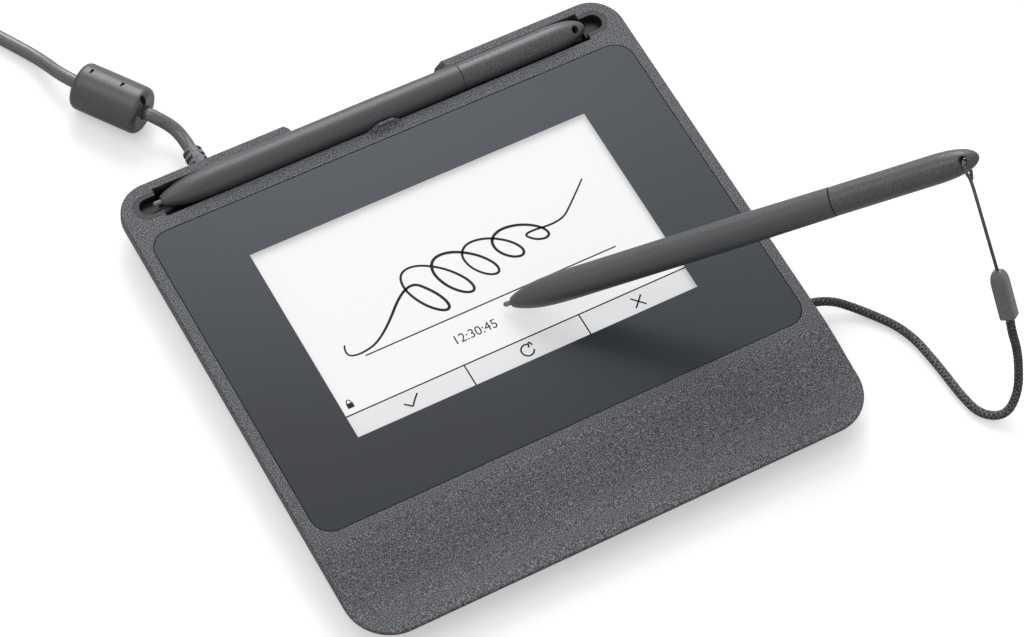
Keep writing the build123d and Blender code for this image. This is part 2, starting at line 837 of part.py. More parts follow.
with BuildPart() as lcd_frame:
    with BuildSketch(Plane.XY.offset(frame_z)):
        with Locations((0, screen_centre_y)):
            tray_thickness = frame_thickness + frame_clearance
            Rectangle(panel_width + 2 * tray_thickness, panel_depth + 2 * tray_thickness)
    extrude(amount=frame_wall_height)
    with BuildSketch(Plane.XY.offset(backlight_z)):
        with Locations((0, screen_centre_y)):
            Rectangle(panel_width + 2 * frame_clearance, panel_depth + 2 * frame_clearance)
    extrude(amount=frame_wall_height, mode=Mode.SUBTRACT)
finish(lcd_frame, "lcd_frame")

# Main board with its parts, and the two flat cables that come to it
with BuildPart() as main_board:
    with BuildSketch(Plane.XY.offset(board_z)):
        with Locations((0, board_y)):
            RectangleRounded(board_width, board_depth, board_corner_radius)
        with Locations(*board_hole_places):
            Circle(board_screw_diameter / 2 + screw_clearance, mode=Mode.SUBTRACT)
    extrude(amount=board_thickness)
finish(main_board, "main_board")


def on_board(shares):
    """A place on the main board, as shares of its width and depth from its middle."""
    return board_width * shares[0], board_y + board_depth * shares[1]


with BuildPart() as board_chips:
    with BuildSketch(Plane.XY.offset(board_top_z)):
        with Locations(on_board(large_chip_shares)):
            Rectangle(large_chip, large_chip)
        with Locations(on_board(small_chip_shares)):
            Rectangle(small_chip, small_chip)
        with Locations(on_board(crystal_shares)):
            Rectangle(crystal_length, crystal_width)
        with Locations(*[on_board(shares) for shares in coil_chip_shares]):
            Rectangle(coil_chip, coil_chip)
    extrude(amount=chip_height)
finish(board_chips, "board_chips")
sensor_connector_y = board_rear_y - sensor_connector_setback - connector_depth / 2
header_face_x = -board_width / 2 + header_inset
with BuildPart() as board_connectors:
    with BuildSketch(Plane.XY.offset(board_top_z)):
        with Locations((-sensor_connector_x / 2, board_rear_y - connector_depth / 2)):
            Rectangle(display_connector_width, connector_depth)
        with Locations((sensor_connector_x, sensor_connector_y)):
            Rectangle(sensor_connector_width, connector_depth)
    extrude(amount=connector_height)
    with BuildSketch(Plane.XY.offset(board_top_z)):
        with Locations((header_face_x + header_depth / 2, header_y)):
            Rectangle(header_depth, header_width)
    extrude(amount=header_height)
finish(board_connectors, "board_connectors")
connector_top_z = board_top_z + connector_height
flex_z = panel_z + flex_level
with BuildPart() as lcd_flex:
    with BuildSketch(Plane.YZ.offset(-sensor_connector_x / 2)):
        with BuildLine():
            FilletPolyline(
                (panel_front_y, flex_z),
                (panel_front_y - flex_reach, flex_z),
                (panel_front_y - flex_reach, connector_top_z),
                radius=flex_bend,
            )
        trace(line_width=flex_thickness)
    extrude(amount=display_connector_width / 2 - flex_margin / 2, both=True)
finish(lcd_flex, "lcd_flex")
sensor_flex_z = sensor_z + flex_thickness / 2 + part_gap / 2
sensor_flex_end_y = sensor_connector_y + connector_depth / 2
hump_step = (sensor_front_y - sensor_flex_end_y) / 4
with BuildPart() as sensor_flex:
    with BuildSketch(Plane.YZ.offset(sensor_connector_x)):
        with BuildLine():
            FilletPolyline(
                (sensor_front_y, sensor_flex_z),
                (sensor_front_y - hump_step, sensor_flex_z),
                (sensor_front_y - 2 * hump_step, sensor_flex_z + flex_hump),
                (sensor_front_y - 3 * hump_step, sensor_flex_z),
                (sensor_flex_end_y, sensor_flex_z),
                radius=flex_hump_bend,
            )
        trace(line_width=flex_thickness)
    extrude(amount=sensor_connector_width / 2 - flex_margin / 2, both=True)
finish(sensor_flex, "sensor_flex")

# Feet and screws
with BuildPart() as rubber_feet:
    with BuildSketch():
        with Locations(*foot_places):
            Circle(foot_diameter / 2)
    extrude(amount=foot_thickness)
    fillet(rubber_feet.edges().group_by(Axis.Z)[0], foot_edge_radius)
finish(rubber_feet, "rubber_feet")
with BuildPart() as case_screws:
    with BuildSketch(Plane.XY.offset(screw_seat_z)):
        with Locations(*boss_places):
            Circle(screw_diameter / 2)
    extrude(amount=screw_length)
    with BuildSketch(Plane.XY.offset(screw_seat_z)):
        with Locations(*boss_places):
            Circle(screw_head_diameter / 2)
    extrude(amount=-screw_head_height)
    with BuildSketch(Plane.XY.offset(screw_seat_z - screw_head_height)):
        with Locations(*boss_places):
            RegularPolygon(drive_width / 2, 6)
    extrude(amount=drive_depth, mode=Mode.SUBTRACT)
finish(case_screws, "case_screws")
with BuildPart() as board_screws:
    with BuildSketch(Plane.XY.offset(board_top_z)):
        with Locations(*board_hole_places):
            Circle(board_screw_diameter / 2)
    extrude(amount=-board_screw_length)
    with BuildSketch(Plane.XY.offset(board_top_z)):
        with Locations(*board_hole_places):
            Circle(board_screw_head / 2)
    extrude(amount=board_screw_head_height)
    with BuildSketch(Plane.XY.offset(board_top_z + board_screw_head_height)):
        with Locations(*board_hole_places):
            RegularPolygon(drive_width / 2, 6)
    extrude(amount=-drive_depth, mode=Mode.SUBTRACT)
finish(board_screws, "board_screws")

# Strain relief: a tapered boot with a web above and below and slots at both sides
with BuildPart() as strain_relief:
    with BuildSketch(Plane.XZ.offset(-relief_body_y)):
        with Locations((relief_x, relief_z)):
            Circle(relief_base_diameter / 2)
    with BuildSketch(Plane.XZ.offset(-relief_tip_y)):
        with Locations((relief_x, relief_z)):
            Circle(relief_tip_diameter / 2)
    loft()
    fillet(strain_relief.edges().group_by(Axis.Y)[-1], relief_tip_radius)
    for row in range(relief_slot_count):
        slot_y = relief_tip_y - relief_tip_ring - row * relief_slot_pitch
        with BuildSketch(Plane.XZ.offset(-slot_y)):
            with Locations((relief_x, relief_z)):
                Circle(relief_base_diameter)
                Rectangle(relief_web, 2 * relief_base_diameter, mode=Mode.SUBTRACT)
                Circle(relief_core_diameter / 2, mode=Mode.SUBTRACT)
        extrude(amount=relief_slot_width, mode=Mode.SUBTRACT)
    with BuildSketch(Plane.XZ.offset(-relief_flange_y)):
        with Locations((relief_x, (relief_neck_low + relief_neck_high) / 2)):
            Rectangle(relief_neck_width, relief_neck_high - relief_neck_low)
    extrude(amount=relief_flange_y - relief_body_y)
    with BuildSketch(Plane.XZ.offset(-relief_flange_y)):
        with Locations((relief_x, (relief_flange_low + relief_flange_high) / 2)):
            Rectangle(relief_flange_width, relief_flange_high - relief_flange_low)
    extrude(amount=relief_flange_depth)
finish(strain_relief, "strain_relief")


def bend_radii(route):
    """The radius at each inner point of a route: as large as the two runs beside it allow."""
    points = [Vector(*place) for place in route]
    radii = []
    for before, corner, after in zip(points, points[1:], points[2:]):
        shorter = min((corner - before).length, (after - corner).length)
        turn = (corner - before).get_angle(after - corner)
        radii.append(bend_share * shorter / math.tan(math.radians(turn / 2)))
    return radii


def cord(label, route, diameter):
    """A round cord along a route of straight runs joined by tangent arcs."""
    radii = bend_radii(route)
    with BuildPart() as tube:
        with BuildLine() as path:
            FilletPolyline(*route, radius=radii)
        with BuildSketch(Plane(path.line @ 0, z_dir=path.line % 0)):
            Circle(diameter / 2)
        sweep()
    finish(tube, label)
    length = path.wire().length
    expected = math.pi * diameter * diameter / 4 * length
    diameters = " ".join(f"{radius / diameter:.1f}" for radius in radii)
    ratio = tube.part.volume / expected
    print(f"{label}: length {length:.1f}, volume ratio {ratio:.4f}, bends {diameters}")


lead_start = (relief_x, relief_flange_y - relief_flange_depth, lead_route[0][2])
lead_end = (header_face_x, header_y, board_top_z + header_lead_rise)
lead_bends = [(header_face_x + x, header_y + y, z) for x, y, z in lead_sweep]
cord("usb_inner_lead", [lead_start] + lead_route + lead_bends + [lead_end], lead_diameter)


def coil_state(step):
    """Place and heading of the coil's centre line after a number of quarter turns."""
    layer_steps = round(coil_turns_per_layer * steps_per_turn)
    layer, along = divmod(step, layer_steps)
    inwards = layer % 2 == 0
    run_in = along if inwards else layer_steps - along
    radius = coil_outer_radius - run_in * turn_pitch / steps_per_turn
    angle = 2 * math.pi * step / steps_per_turn
    climbing = along == 0 and 0 < layer < coil_layers
    level = coil_low_z + turn_pitch * min(layer, coil_layers - 1)
    if climbing:
        level -= turn_pitch / 2
    inner_rate = -turn_pitch / (2 * math.pi) if inwards else turn_pitch / (2 * math.pi)
    radial = 0 if climbing else inner_rate
    climb = climb_slope_share * turn_pitch / math.pi if climbing else 0
    outward = Vector(math.cos(angle), math.sin(angle), 0)
    forward = Vector(-math.sin(angle), math.cos(angle), 0)
    place = Vector(coil_centre_x, coil_centre_y, level) + outward * radius
    return place, (outward * radial + forward * radius + Vector(0, 0, climb)).normalized()


coil_outer_radius = coil_mean_radius + coil_turns_per_layer * turn_pitch / 2
coil_low_z = cable_radius + lay_gap
coil_steps = round(coil_layers * coil_turns_per_layer * steps_per_turn)
coil_states = [coil_state(step) for step in range(coil_steps + 1)]
coil_mouth = coil_states[0][0] - coil_states[0][1] * cable_diameter
coil_exit = coil_states[-1][0] + coil_states[-1][1] * cable_diameter

# Coil of the put-away cable: one tube that winds in and out again in four layers
with BuildPart() as usb_cable_coil:
    with BuildLine() as coil_path:
        Line(coil_mouth, coil_states[0][0])
        for (start, start_heading), (end, end_heading) in zip(coil_states, coil_states[1:]):
            span = end - start
            both = start_heading + end_heading
            square = 2 * start_heading.dot(end_heading) - 2
            across = span.dot(both)
            reach = (across - math.sqrt(across * across - square * span.dot(span))) / square
            knee_start = start + start_heading * reach
            knee_end = end - end_heading * reach
            middle = (knee_start + knee_end) / 2
            TangentArc(start, middle, tangent=start_heading)
            TangentArc(middle, end, tangent=(knee_end - knee_start).normalized())
        Line(coil_states[-1][0], coil_exit)
    with BuildSketch(Plane(coil_mouth, z_dir=coil_states[0][1])):
        Circle(cable_radius)
    sweep()
finish(usb_cable_coil, "usb_cable_coil")
coil_length = coil_path.wire().length
coil_ratio = usb_cable_coil.part.volume / (math.pi * cable_radius * cable_radius * coil_length)
coil_samples = round(coil_length / gap_sample_step)
coil_line = coil_path.wire()
coil_spots = [tuple(coil_line.position_at(sample / coil_samples)) for sample in range(coil_samples + 1)]
apart = round(gap_sample_span / gap_sample_step)
later_spots = [(spot, coil_spots[i + apart:]) for i, spot in enumerate(coil_spots)]
nearest = min(math.dist(spot, other) for spot, others in later_spots for other in others)
print(f"usb_cable_coil: length {coil_length:.1f}, volume ratio {coil_ratio:.4f}")
print(f"usb_cable_coil: least gap to itself {nearest - cable_diameter:.2f}")

# Data cable from the boot through the ferrite to the coil, and from the coil to the plug
lean = math.radians(ferrite_lean)
bearing = math.radians(ferrite_direction)
ferrite_flat = Vector(math.cos(bearing), math.sin(bearing), 0)
ferrite_heading = ferrite_flat * math.cos(lean) - Vector(0, 0, math.sin(lean))
rim_rise = ferrite_edge_radius * (1 - math.sin(lean))
ferrite_far_z = rim_rise + (ferrite_radius - ferrite_edge_radius) * math.cos(lean)
ferrite_near = Vector(ferrite_near_x, ferrite_near_y, ferrite_far_z + ferrite_length * math.sin(lean))
ferrite_entry = ferrite_near - ferrite_heading * ferrite_entry_run
ferrite_exit = ferrite_near + ferrite_heading * (ferrite_length + ferrite_exit_run)
coil_approach = coil_mouth - coil_states[0][1] * coil_entry_run
coil_departure = coil_exit + coil_states[-1][1] * coil_exit_run
cable_route = cable_before_ferrite + [tuple(ferrite_entry), tuple(ferrite_exit)]
cable_route = cable_route + cable_after_ferrite + [tuple(coil_approach), tuple(coil_mouth)]
cord("usb_cable", cable_route, cable_diameter)
plug_end = (plug_cable_x, plug_y, plug_body_height / 2)
plug_route = [tuple(coil_exit), tuple(coil_departure)] + cable_after_coil + [plug_end]
cord("usb_cable_end", plug_route, cable_diameter)

# Clip-on ferrite: two half shells on a hinge, each with a half core, round the cable
ferrite_plane = Plane(ferrite_near, x_dir=(-ferrite_heading.Y, ferrite_heading.X, 0), z_dir=ferrite_heading)
ferrite_bore_radius = cable_radius + ferrite_bore_clearance
cavity_start = ferrite_plane.offset(ferrite_end_wall)
cavity_length = ferrite_length - 2 * ferrite_end_wall
lid_hinge_x = -ferrite_radius - lid_hinge_offset
lid_clear_radius = lid_knuckle_radius + lid_knuckle_gap
middle_knuckle = ferrite_plane.offset((ferrite_length - lid_knuckle_length) / 2)
near_knuckle = middle_knuckle.offset(-lid_knuckle_gap - lid_knuckle_length)
far_knuckle = middle_knuckle.offset(lid_knuckle_length + lid_knuckle_gap)
near_pin = middle_knuckle.offset(lid_pin_length)
far_pin = middle_knuckle.offset(lid_knuckle_length - lid_pin_length)


def ferrite_half(label, side):
    """One half shell of the ferrite: side is 1 for the upper half and -1 for the lower."""
    with BuildPart() as shell:
        with BuildSketch(ferrite_plane):
            Circle(ferrite_radius)
        extrude(amount=ferrite_length)
        fillet(shell.edges(), ferrite_edge_radius)
        with BuildSketch(cavity_start):
            Circle(ferrite_radius - ferrite_wall)
        extrude(amount=cavity_length, mode=Mode.SUBTRACT)
        with BuildSketch(ferrite_plane):
            Circle(ferrite_bore_radius)
        extrude(amount=ferrite_length, mode=Mode.SUBTRACT)
        with BuildSketch(ferrite_plane):
            with Locations((0, side * (ferrite_seam / 2 + ferrite_radius))):
                Rectangle(4 * ferrite_radius, 2 * ferrite_radius)
        extrude(amount=ferrite_length, mode=Mode.INTERSECT)
        if side > 0:
            for share in latch_slot_shares:
                slot_plane = Plane(
                    ferrite_plane.offset(ferrite_length * (1 / 2 + share)).origin,
                    x_dir=ferrite_heading,
                    z_dir=latch_heading,
                )
                with BuildSketch(slot_plane.offset(ferrite_radius - latch_slot_depth)):
                    Rectangle(latch_slot_length, latch_slot_width)
                extrude(amount=ferrite_radius, mode=Mode.SUBTRACT)
            with BuildSketch(ferrite_plane):
                with Locations((0, ferrite_radius)):
                    Rectangle(end_notch_width, 2 * end_notch_depth)
            extrude(amount=end_notch_inset, mode=Mode.SUBTRACT)
            with BuildSketch(near_knuckle.offset(-lid_knuckle_gap)):
                with Locations((lid_hinge_x, 0)):
                    Circle(lid_clear_radius)
            extrude(amount=lid_knuckle_length + 2 * lid_knuckle_gap, mode=Mode.SUBTRACT)
            with BuildSketch(far_knuckle.offset(-lid_knuckle_gap)):
                with Locations((lid_hinge_x, 0)):
                    Circle(lid_clear_radius)
            extrude(amount=lid_knuckle_length + 2 * lid_knuckle_gap, mode=Mode.SUBTRACT)
            with BuildSketch(middle_knuckle):
                with Locations((lid_hinge_x, 0)):
                    Circle(lid_knuckle_radius)
            extrude(amount=lid_knuckle_length)
            with BuildSketch(middle_knuckle):
                with Locations((lid_hinge_x, 0)):
                    Circle(lid_pin_radius + lid_pin_gap)
            extrude(amount=lid_knuckle_length, mode=Mode.SUBTRACT)
        else:
            with BuildSketch(middle_knuckle.offset(-lid_knuckle_gap)):
                with Locations((lid_hinge_x, 0)):
                    Circle(lid_clear_radius)
            extrude(amount=lid_knuckle_length + 2 * lid_knuckle_gap, mode=Mode.SUBTRACT)
            with BuildSketch(near_knuckle, far_knuckle):
                with Locations((lid_hinge_x, 0)):
                    Circle(lid_knuckle_radius)
            extrude(amount=lid_knuckle_length)
            with BuildSketch(near_pin):
                with Locations((lid_hinge_x, 0)):
                    Circle(lid_pin_radius)
            extrude(amount=-lid_pin_length - lid_knuckle_gap - lid_knuckle_length / 2)
            with BuildSketch(far_pin):
                with Locations((lid_hinge_x, 0)):
                    Circle(lid_pin_radius)
            extrude(amount=lid_pin_length + lid_knuckle_gap + lid_knuckle_length / 2)
    finish(shell, label)


def ferrite_core(label, side):
    """One half of the ferrite's core: side is 1 for the upper half and -1 for the lower."""
    with BuildPart() as core:
        with BuildSketch(cavity_start.offset(ferrite_core_gap)):
            Circle(ferrite_radius - ferrite_wall - ferrite_core_gap)
            Circle(ferrite_bore_radius, mode=Mode.SUBTRACT)
            with Locations((0, side * (ferrite_seam / 2 + ferrite_radius))):
                Rectangle(2 * ferrite_radius, 2 * ferrite_radius, mode=Mode.INTERSECT)
        extrude(amount=cavity_length - 2 * ferrite_core_gap)
    finish(core, label)


latch_turn = math.radians(latch_slot_tilt)
latch_heading = ferrite_plane.y_dir * math.cos(latch_turn) + ferrite_plane.x_dir * math.sin(latch_turn)
ferrite_half("ferrite_shell_lower", -1)
ferrite_half("ferrite_shell_upper", 1)
ferrite_core("ferrite_core_lower", -1)
ferrite_core("ferrite_core_upper", 1)

# Data plug: a moulded grip, a folded metal shell, and the tongue with its contacts
plug_face = Plane(plug_end, x_dir=(0, 1, 0), z_dir=(-1, 0, 0))
plug_nose = plug_face.offset(plug_body_length)
with BuildPart() as usb_plug_overmould:
    with BuildSketch(plug_face):
        RectangleRounded(
            plug_body_width * plug_nose_share,
            plug_body_height * plug_nose_share,
            plug_body_radius,
        )
    with BuildSketch(plug_face.offset(plug_nose_length)):
        RectangleRounded(plug_body_width, plug_body_height, plug_body_radius)
    loft()
    with BuildSketch(plug_face.offset(plug_nose_length)):
        RectangleRounded(plug_body_width, plug_body_height, plug_body_radius)
    extrude(amount=plug_body_length - plug_nose_length)
finish(usb_plug_overmould, "usb_plug_overmould")
shell_middle = plug_nose.offset(shell_length * shell_window_share).origin
shell_window_plane = Plane(shell_middle, x_dir=(-1, 0, 0), z_dir=(0, 0, 1))
with BuildPart() as usb_plug_shell:
    with BuildSketch(plug_nose):
        RectangleRounded(shell_width, shell_height, shell_wall)
    extrude(amount=shell_length)
    with BuildSketch(plug_nose):
        Rectangle(shell_width - 2 * shell_wall, shell_height - 2 * shell_wall)
    extrude(amount=shell_length, mode=Mode.SUBTRACT)
    with BuildSketch(shell_window_plane):
        with GridLocations(0, shell_width / 2, 1, 2):
            Rectangle(shell_window, shell_window)
    extrude(amount=shell_height, both=True, mode=Mode.SUBTRACT)
finish(usb_plug_shell, "usb_plug_shell")
tongue_drop = shell_height / 2 - shell_wall - tongue_gap - tongue_height / 2
with BuildPart() as usb_plug_tongue:
    with BuildSketch(plug_nose):
        with Locations((0, -tongue_drop)):
            Rectangle(tongue_width, tongue_height)
    extrude(amount=shell_length - tongue_recess)
finish(usb_plug_tongue, "usb_plug_tongue")
with BuildPart() as usb_plug_contacts:
    contact_level = tongue_height / 2 - tongue_drop + contact_thickness / 2
    with BuildSketch(plug_nose.offset(shell_length - tongue_recess - contact_length - contact_inset)):
        with Locations((0, contact_level)):
            with GridLocations(contact_pitch, 0, contact_count, 1):
                Rectangle(contact_width, contact_thickness)
    extrude(amount=contact_length)
finish(usb_plug_contacts, "usb_plug_contacts")

# Tether: a moulded anchor in the side wall, the thick cord, the lock, and the thin loop at the pen
anchor_flange_x = body_width / 2 - wall_inset(tether_z - anchor_flange_height / 2) - rim_width - part_gap
anchor_back = (anchor_flange_x - anchor_flange_depth, tether_y, tether_z)
anchor_plane = Plane(anchor_back, x_dir=(0, 1, 0), z_dir=(1, 0, 0))
with BuildPart() as tether_anchor:
    with BuildSketch(anchor_plane):
        RectangleRounded(anchor_flange_width, anchor_flange_height, anchor_flange_depth)
    extrude(amount=anchor_flange_depth)
    with BuildSketch(anchor_plane):
        Circle(anchor_diameter / 2)
    extrude(amount=anchor_reach - anchor_plane.origin.X)
    fillet(tether_anchor.edges().group_by(Axis.X)[-1], anchor_edge_radius)
finish(tether_anchor, "tether_anchor")
lock_low = Vector(*lock_bottom)
lock_high = Vector(*lock_top)
lock_axis = (lock_high - lock_low).normalized()
tether_end = lock_low - lock_axis * lock_entry_gap
tether_bend = tether_end - lock_axis * lock_entry_run
cord("tether_cord", tether_route + [tuple(tether_bend), tuple(tether_end)], tether_diameter)
lock_front = Vector(*lock_ridge)
lock_plane = Plane(lock_low, x_dir=lock_front - lock_axis * lock_front.dot(lock_axis), z_dir=lock_axis)
with BuildPart() as tether_lock:
    with BuildSketch(lock_plane):
        ridge = lock_thickness / 2
        brow = lock_thickness / 2 * lock_side_share
        side = lock_width / 2
        with BuildLine():
            upper_half = [(ridge, 0), (brow, side), (-brow, side), (-ridge, 0)]
            Polyline(*upper_half, (-brow, -side), (brow, -side), close=True)
        make_face()
    extrude(amount=(lock_high - lock_low).length)
    fillet(tether_lock.faces().sort_by(Axis(lock_low, lock_axis))[-1].edges(), lock_end_radius)
finish(tether_lock, "tether_lock")

# Pens: the axis of each runs from its tip along x, and z points along its eyelet
def pen_frame(tip, heading, lean):
    """The frame of a pen whose axis leaves the tip at a heading, and rises at a lean."""
    flat = math.cos(math.radians(lean))
    turn = math.radians(heading)
    along = Vector(flat * math.cos(turn), flat * math.sin(turn), math.sin(math.radians(lean)))
    raised = (Vector(0, 0, 1) - along * along.Z).normalized()
    sideways = along.cross(raised)
    roll = math.radians(eyelet_turn)
    return Plane(tip, x_dir=along, z_dir=raised * math.cos(roll) + sideways * math.sin(roll))


def pen(prefix, frame):
    """All the pieces of a pen, in the frame given."""
    axis = Axis(frame.origin, frame.x_dir)

    def ring(label, low, high, inner, outer):
        """A plain sleeve or rod on the axis of the pen."""
        with BuildPart() as sleeve:
            with BuildSketch(Plane(frame.origin + frame.x_dir * low, x_dir=frame.y_dir, z_dir=frame.x_dir)):
                Circle(outer)
                if inner:
                    Circle(inner, mode=Mode.SUBTRACT)
            extrude(amount=high - low)
        finish(sleeve, prefix + label)

    nose_run = pen_full_distance - pen_nose_distance
    nose_rise = pen_radius - pen_nose_radius
    nose_points = [
        (pen_nose_distance + far * nose_run, pen_nose_radius + wide * nose_rise)
        for far, wide in zip(nose_distance_shares, nose_radius_shares)
    ]
    with BuildPart() as front_barrel:
        with BuildSketch(frame):
            with BuildLine():
                Spline(
                    (pen_nose_distance, pen_nose_radius),
                    *nose_points,
                    (pen_full_distance, pen_radius),
                    tangents=[(1, nose_start_slope), (1, 0)],
                )
                Polyline(
                    (pen_full_distance, pen_radius),
                    (pen_taper_distance, pen_radius),
                    (pen_joint_distance, pen_joint_radius),
                    (pen_joint_distance, pen_bore_radius),
                    (pen_bore_start, pen_bore_radius),
                    (pen_bore_start, pen_coil_bore_radius),
                    (pen_coil_bore_start, pen_coil_bore_radius),
                    (pen_coil_bore_start, pen_nose_bore_radius),
                    (pen_nose_distance, pen_nose_bore_radius),
                    (pen_nose_distance, pen_nose_radius),
                )
            make_face()
        revolve(axis=axis)
    finish(front_barrel, prefix + "front_barrel")

    spigot_radius = pen_bore_radius - pen_spigot_gap
    rear_start = pen_joint_distance + pen_joint_gap
    with BuildPart() as rear_barrel:
        with BuildSketch(frame):
            with BuildLine():
                Spline(
                    (pen_shoulder_distance, pen_shoulder_radius),
                    (pen_crown_distance, pen_crown_radius),
                    (pen_length, pen_end_radius),
                )
                Polyline(
                    (pen_length, pen_end_radius),
                    (pen_length, 0),
                    (pen_rear_bore_end, 0),
                    (pen_rear_bore_end, spigot_radius - pen_wall),
                    (pen_joint_distance - pen_spigot_length, spigot_radius - pen_wall),
                    (pen_joint_distance - pen_spigot_length, spigot_radius),
                    (rear_start, spigot_radius),
                    (rear_start, pen_rear_radius),
                    (pen_shoulder_distance, pen_shoulder_radius),
                )
            make_face()
        revolve(axis=axis)
        with BuildSketch(frame):
            with BuildLine():
                facet_slope = math.tan(math.radians(pen_facet_tilt))
                Polyline(
                    (pen_length, pen_facet_start),
                    (pen_length - facet_slope * pen_radius, pen_facet_start + pen_radius),
                    (pen_length + pen_radius, pen_facet_start + pen_radius),
                    (pen_length + pen_radius, pen_facet_start),
                    close=True,
                )
            make_face()
        extrude(amount=pen_radius, both=True, mode=Mode.SUBTRACT)
        eyelet_origin = frame.origin + frame.x_dir * eyelet_distance
        with BuildSketch(Plane(eyelet_origin, x_dir=frame.x_dir, z_dir=-frame.y_dir)):
            with BuildLine():
                Polyline(
                    (0, -pen_radius),
                    (eyelet_radius + eyelet_flare, -pen_radius),
                    (eyelet_radius + eyelet_flare, -pen_crown_radius),
                    (eyelet_radius, eyelet_flare - pen_crown_radius),
                    (eyelet_radius, pen_crown_radius - eyelet_flare),
                    (eyelet_radius + eyelet_flare, pen_crown_radius),
                    (eyelet_radius + eyelet_flare, pen_radius),
                    (0, pen_radius),
                    close=True,
                )
            make_face()
        revolve(axis=Axis(eyelet_origin, frame.z_dir), mode=Mode.SUBTRACT)
    finish(rear_barrel, prefix + "rear_barrel")

    with BuildPart() as nib:
        with BuildSketch(frame):
            with BuildLine():
                Line((0, 0), (nib_length, 0))
                Line((nib_length, 0), (nib_length, nib_radius))
                Line((nib_length, nib_radius), (nib_radius, nib_radius))
                nib_knee = nib_radius * math.sqrt(1 / 2)
                ThreePointArc((nib_radius, nib_radius), (nib_radius - nib_knee, nib_knee), (0, 0))
            make_face()
        revolve(axis=axis)
    finish(nib, prefix + "nib")

    with BuildPart() as coil_core:
        with BuildSketch(frame):
            with Locations((coil_core_start, coil_core_bore)):
                Rectangle(coil_core_length, coil_core_radius - coil_core_bore, align=Align.MIN)
                Rectangle(coil_core_flange, coil_winding_radius - coil_core_bore, align=Align.MIN)
            with Locations((coil_core_start + coil_core_length, coil_core_bore)):
                Rectangle(
                    coil_core_flange,
                    coil_winding_radius - coil_core_bore,
                    align=(Align.MAX, Align.MIN),
                )
        revolve(axis=axis)
    finish(coil_core, prefix + "coil_core")
    winding_start = coil_core_start + (coil_core_length - coil_winding_length) / 2
    ring("coil", winding_start, winding_start + coil_winding_length, coil_core_radius, coil_winding_radius)
    sensor_start = nib_length + nib_travel + nib_stop_gap
    ring("sensor", sensor_start, sensor_start + pen_sensor_length, 0, pen_sensor_radius)

    chassis_start = sensor_start + pen_sensor_length
    with BuildPart() as chassis:
        chassis_origin = frame.origin + frame.x_dir * chassis_start
        chassis_plane = Plane(chassis_origin, x_dir=frame.y_dir, z_dir=frame.x_dir)
        with BuildSketch(chassis_plane):
            Circle(chassis_radius)
            with Locations((0, chassis_flat)):
                Rectangle(
                    2 * chassis_radius,
                    2 * chassis_radius,
                    align=(Align.CENTER, Align.MIN),
                    mode=Mode.SUBTRACT,
                )
        extrude(amount=chassis_length)
    finish(chassis, prefix + "chassis")
    with BuildPart() as circuit:
        with BuildSketch(chassis_plane):
            with Locations((0, chassis_flat)):
                Rectangle(pen_board_width, pen_board_thickness, align=(Align.CENTER, Align.MIN))
        extrude(amount=pen_board_length)
    finish(circuit, prefix + "board")


nib_reach = nib_radius * (1 - math.sin(math.radians(writing_lean)))
writing_tip = (writing_tip_x, writing_tip_y, top_z + nib_reach + nib_rest_gap)
writing_frame = pen_frame(writing_tip, writing_heading, writing_lean)
spare_frame = pen_frame((spare_tip_x, tray_y, top_z), 0, 0)
pen("writing_pen_", writing_frame)
pen("spare_pen_", spare_frame)

# Thin loop of the tether: from the lock to a knot, and through the eyelet of the writing pen
eyelet = writing_frame.origin + writing_frame.x_dir * eyelet_distance
loop_plane = Plane(eyelet, x_dir=writing_frame.z_dir, z_dir=writing_frame.x_dir)
loop_places = [
    (loop_start, knot_drop),
    (loop_shoulder_out, loop_shoulder_drop),
    (loop_reach, 0),
    (-loop_reach, 0),
    (-loop_shoulder_out, loop_shoulder_drop),
    (-loop_start, knot_drop),
]
knot = eyelet + loop_plane.y_dir * knot_drop
with BuildPart() as eyelet_loop:
    with BuildLine() as loop_path:
        across, down = loop_plane.x_dir, loop_plane.y_dir
        loop_points = [eyelet + across * out + down * drop for out, drop in loop_places]
        loop_bends = [loop_shoulder_radius, loop_mouth_radius, loop_mouth_radius, loop_shoulder_radius]
        FilletPolyline(*loop_points, radius=loop_bends)
    with BuildSketch(Plane(loop_path.line @ 0, z_dir=loop_path.line % 0)):
        Circle(thin_cord_diameter / 2)
    sweep()
with BuildPart() as tether_loop:
    with BuildSketch(Plane(lock_high, z_dir=knot - lock_high)):
        Circle(thin_cord_diameter / 2)
    extrude(amount=(knot - lock_high).length)
    with Locations(knot):
        Sphere(knot_radius)
    add(eyelet_loop.part)
finish(tether_loop, "tether_loop")
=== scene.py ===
import math
import bpy
import numpy as np
from mathutils import Matrix, Vector


